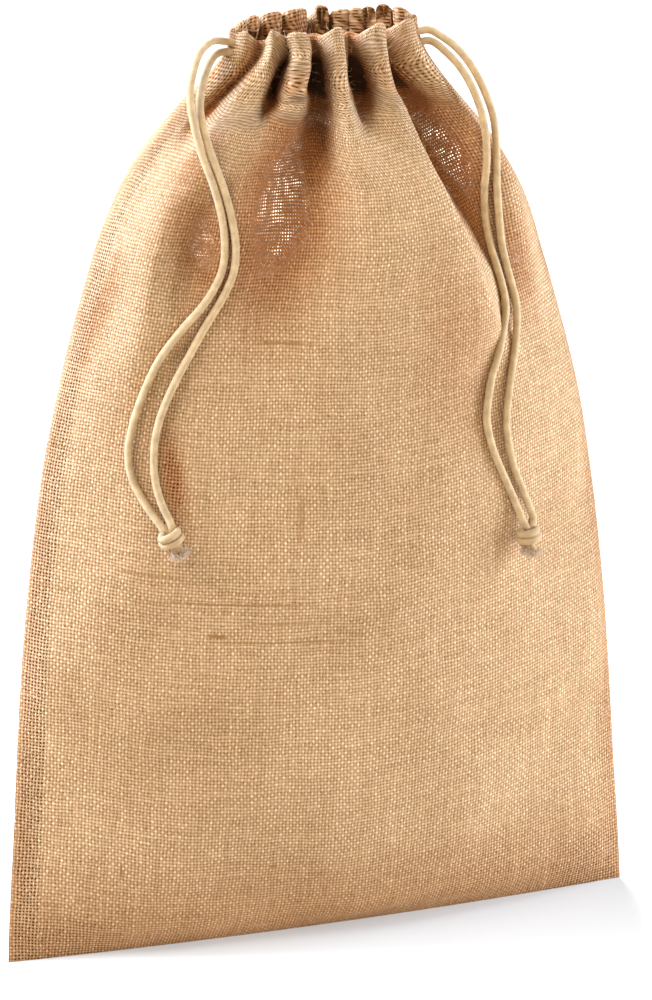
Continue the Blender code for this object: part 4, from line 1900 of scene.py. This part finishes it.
CORDS = (
    DrawCord(
        name="cord_left_a",
        tucked=(-35.0, -9.6, 413.0),
        landing=(-82.9, -50.6, 208.2),
        route=(
            (-42.6, -10.85, 415), (-49, -14.45, 416), (-56, -20.45, 413), (-61, -26.45, 406),
            (-64, -31.45, 397), (-63.5, -34.95, 386), (-61, -37.95, 373), (-57, -40.85, 360),
            (-54, -42.85, 347), (-53, -44.45, 335), (-54, -45.45, 325), (-57, -45.45, 317),
            (-63, -45.45, 308), (-73, -44.45, 297), (-82, -42.85, 285), (-88, -40.95, 272),
            (-93, -39.95, 258), (-96, -39.85, 244), (-95, -40.95, 232), (-90.5, -44.25, 221),
            (-84.6, -49.45, 211.2),
        ),
    ),
    DrawCord(
        name="cord_left_b",
        tucked=(-36.0, -10.6, 409.0),
        landing=(-80.3, -51.2, 209.0),
        route=(
            (-43.6, -11.85, 410.4), (-49.5, -16.45, 408.5), (-55.5, -23.45, 401.5),
            (-59.3, -30.45, 392), (-58.8, -35.45, 381), (-55.8, -39.25, 369), (-52, -42.05, 356),
            (-49.5, -44.05, 344), (-48.5, -45.85, 333), (-49.5, -46.65, 323),
            (-52.5, -46.65, 315), (-57, -46.55, 307), (-63, -46.55, 298), (-69.5, -46.55, 287),
            (-76, -45.75, 275), (-81, -45.05, 264), (-84.5, -44.75, 253), (-86, -44.65, 242),
            (-85.8, -45.85, 231), (-83.8, -48.05, 221), (-80.6, -50.65, 212.6),
        ),
    ),
    DrawCord(
        name="cord_right_a",
        tucked=(44.0, -9.8, 411.0),
        landing=(88.3, -49.0, 190.6),
        route=(
            (51.6, -10.85, 412.6), (57.5, -12.45, 409.5), (63.5, -15.45, 404.5),
            (68.8, -19.45, 397), (73, -24.45, 387), (75.5, -29.95, 375.5), (75.5, -33.95, 362),
            (75, -36.25, 348), (76, -36.45, 334), (78, -35.65, 319), (81, -36.25, 306),
            (83.5, -37.25, 296), (84, -39.45, 286), (82, -42.65, 274), (79, -45.95, 262),
            (77, -47.75, 251), (76, -48.65, 241), (77.5, -48.65, 229), (81, -47.55, 217),
            (86, -46.75, 205), (89.4, -48.05, 194.6),
        ),
    ),
    DrawCord(
        name="cord_right_b",
        tucked=(44.5, -10.6, 406.5),
        landing=(86.0, -49.8, 190.2),
        route=(
            (52.3, -11.85, 407.8), (58, -15.95, 403.5), (63.5, -21.45, 396.5),
            (67.2, -27.25, 387.5), (69.5, -31.95, 377.5), (70, -35.45, 368), (70, -36.45, 357),
            (69.5, -35.45, 345), (70.5, -34.45, 332), (72.5, -34.75, 320.5), (75, -36.65, 310.5),
            (77.3, -38.35, 301), (78, -41.05, 292), (75.5, -44.85, 283), (72, -47.65, 272),
            (69, -48.85, 264), (66.5, -50.75, 254), (65.5, -51.45, 245), (67, -51.45, 236),
            (70, -50.65, 227), (75, -49.15, 216), (80.2, -48.25, 204.5), (84.3, -49.45, 193.8),
        ),
    ),
)

KNOTS = (
    OverhandKnot(
        name="knot_left",
        centre=(-80.8, -51.75, 205.4),
        tilt=30.0,
        ends=((4.6, -1.4, -5.6), (2.2, -0.8, -6.4)),
        entries=((-3.0, 1.9, 5.2), (0.9, 0.9, 6.4)),
    ),
    OverhandKnot(
        name="knot_right",
        centre=(86.6, -49.75, 187.0),
        tilt=15.0,
        ends=((1.9, -1.2, -6.6), (-0.6, -0.4, -5.8)),
        entries=((2.5, 1.4, 6.4), (-1.9, 0.3, 6.2)),
    ),
)


def settle(piece: Piece, node: Union[str, None]) -> None:
    """Join a piece to the frame.

    Args:
        piece: The piece.
        node: The CAD node that it stands for, if any.
    """
    if node is not None:
        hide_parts(node)
    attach(piece, BODY)
    LOG.info("%s: %d faces", piece.name, len(piece.data.polygons))


@dataclass
class DrawstringSack:
    """The whole sack: two cloth panels, four cord tails, two knots and their fibres."""

    body: SackBody = field(default_factory=SackBody)
    cord_finish: CottonFinish = CottonFinish(
        "cord_cotton_skin", body=(0.68, 0.455, 0.210, 1.0), shade=(0.34, 0.180, 0.062, 1.0)
    )
    # Painted shade: the knots take a darker copy of the cords' cotton, for the shade in their wound turns.
    knot_finish: CottonFinish = CottonFinish(
        "knot_cotton_skin_shaded", body=(0.64, 0.415, 0.185, 1.0), shade=(0.28, 0.14, 0.046, 1.0)
    )
    fringe_finish: FibreFinish = FibreFinish(
        "fringe_cotton", light=(0.82, 0.62, 0.40, 1.0), dark=(0.56, 0.37, 0.21, 1.0)
    )
    hair_finish: FibreFinish = FibreFinish(
        "stray_jute", light=(0.86, 0.70, 0.46, 1.0), dark=(0.46, 0.28, 0.13, 1.0)
    )

    def cords(self, parts: ShaderParts) -> dict[str, Piece]:
        """Build the cord tails.

        Args:
            parts: The shared shader groups.

        Returns:
            Each tail, by its name.
        """
        material = self.cord_finish.build(parts)
        made = {}
        for cord in CORDS:
            made[cord.name] = cord.build(material)
            settle(made[cord.name], cord.name)
        return made

    def knots(self, parts: ShaderParts, tree: Tree) -> dict[str, tuple[Piece, Piece]]:
        """Build each knot with the fringe of its cut ends.

        Args:
            parts: The shared shader groups.
            tree: The fibre tree.

        Returns:
            Each knot and its fringe, by the knot's name.
        """
        first_seed = 11
        cotton, white = self.knot_finish.build(parts), self.fringe_finish.build(parts)
        made = {}
        for seed, knot in enumerate(KNOTS, first_seed):
            piece = knot.build(cotton)
            settle(piece, knot.name)
            discs = knot.end_discs()
            name = knot.name + "_fringe"
            growth = FibreGrowth(
                name, density=1.9e7, length=4.0, radius=0.10, spread=1.10, curl=0.6, seed=seed
            )
            fringe = growth.grow(tree, discs, white)
            bpy.data.objects.remove(discs)
            settle(fringe, None)
            made[knot.name] = (piece, fringe)
        return made

    def panels(self, parts: ShaderParts, tree: Tree) -> None:
        """Build the two cloth panels and the stray fibres on them.

        Args:
            parts: The shared shader groups.
            tree: The fibre tree.
        """
        cloth, hair = JuteFinish().build(parts), self.hair_finish.build(parts)
        pressing = [cord.centres()[8:-8:4] for cord in CORDS]
        plans = (
            ClothPanel("front_panel", Side.FRONT, self.body, pressing=pressing),
            ClothPanel("back_panel", Side.BACK, self.body, seed=9),
        )
        for plan in plans:
            panel = plan.build(cloth)
            settle(panel, plan.name)
            name = plan.name.replace("_panel", "_fibres")
            growth = FibreGrowth(
                name, density=14000.0, length=4.5, radius=0.045, spread=1.35, curl=0.5, seed=plan.seed
            )
            fibres = growth.grow(tree, panel, hair)
            settle(fibres, None)

    def build(self) -> None:
        """Build everything, the cords first."""
        parts, tree = ShaderParts(), fibre_tree()
        cords = self.cords(parts)
        knots = self.knots(parts, tree)
        for cord in CORDS:
            cord.exit()
            cord.length()
            cord.centres()
        self.panels(parts, tree)


def main() -> None:
    """Build the studio and the sack, and log each piece's face count."""
    logging.basicConfig(level=logging.INFO, format="%(name)s: %(message)s")
    Studio().build()
    DrawstringSack().build()


if __name__ == "__main__":
    main()
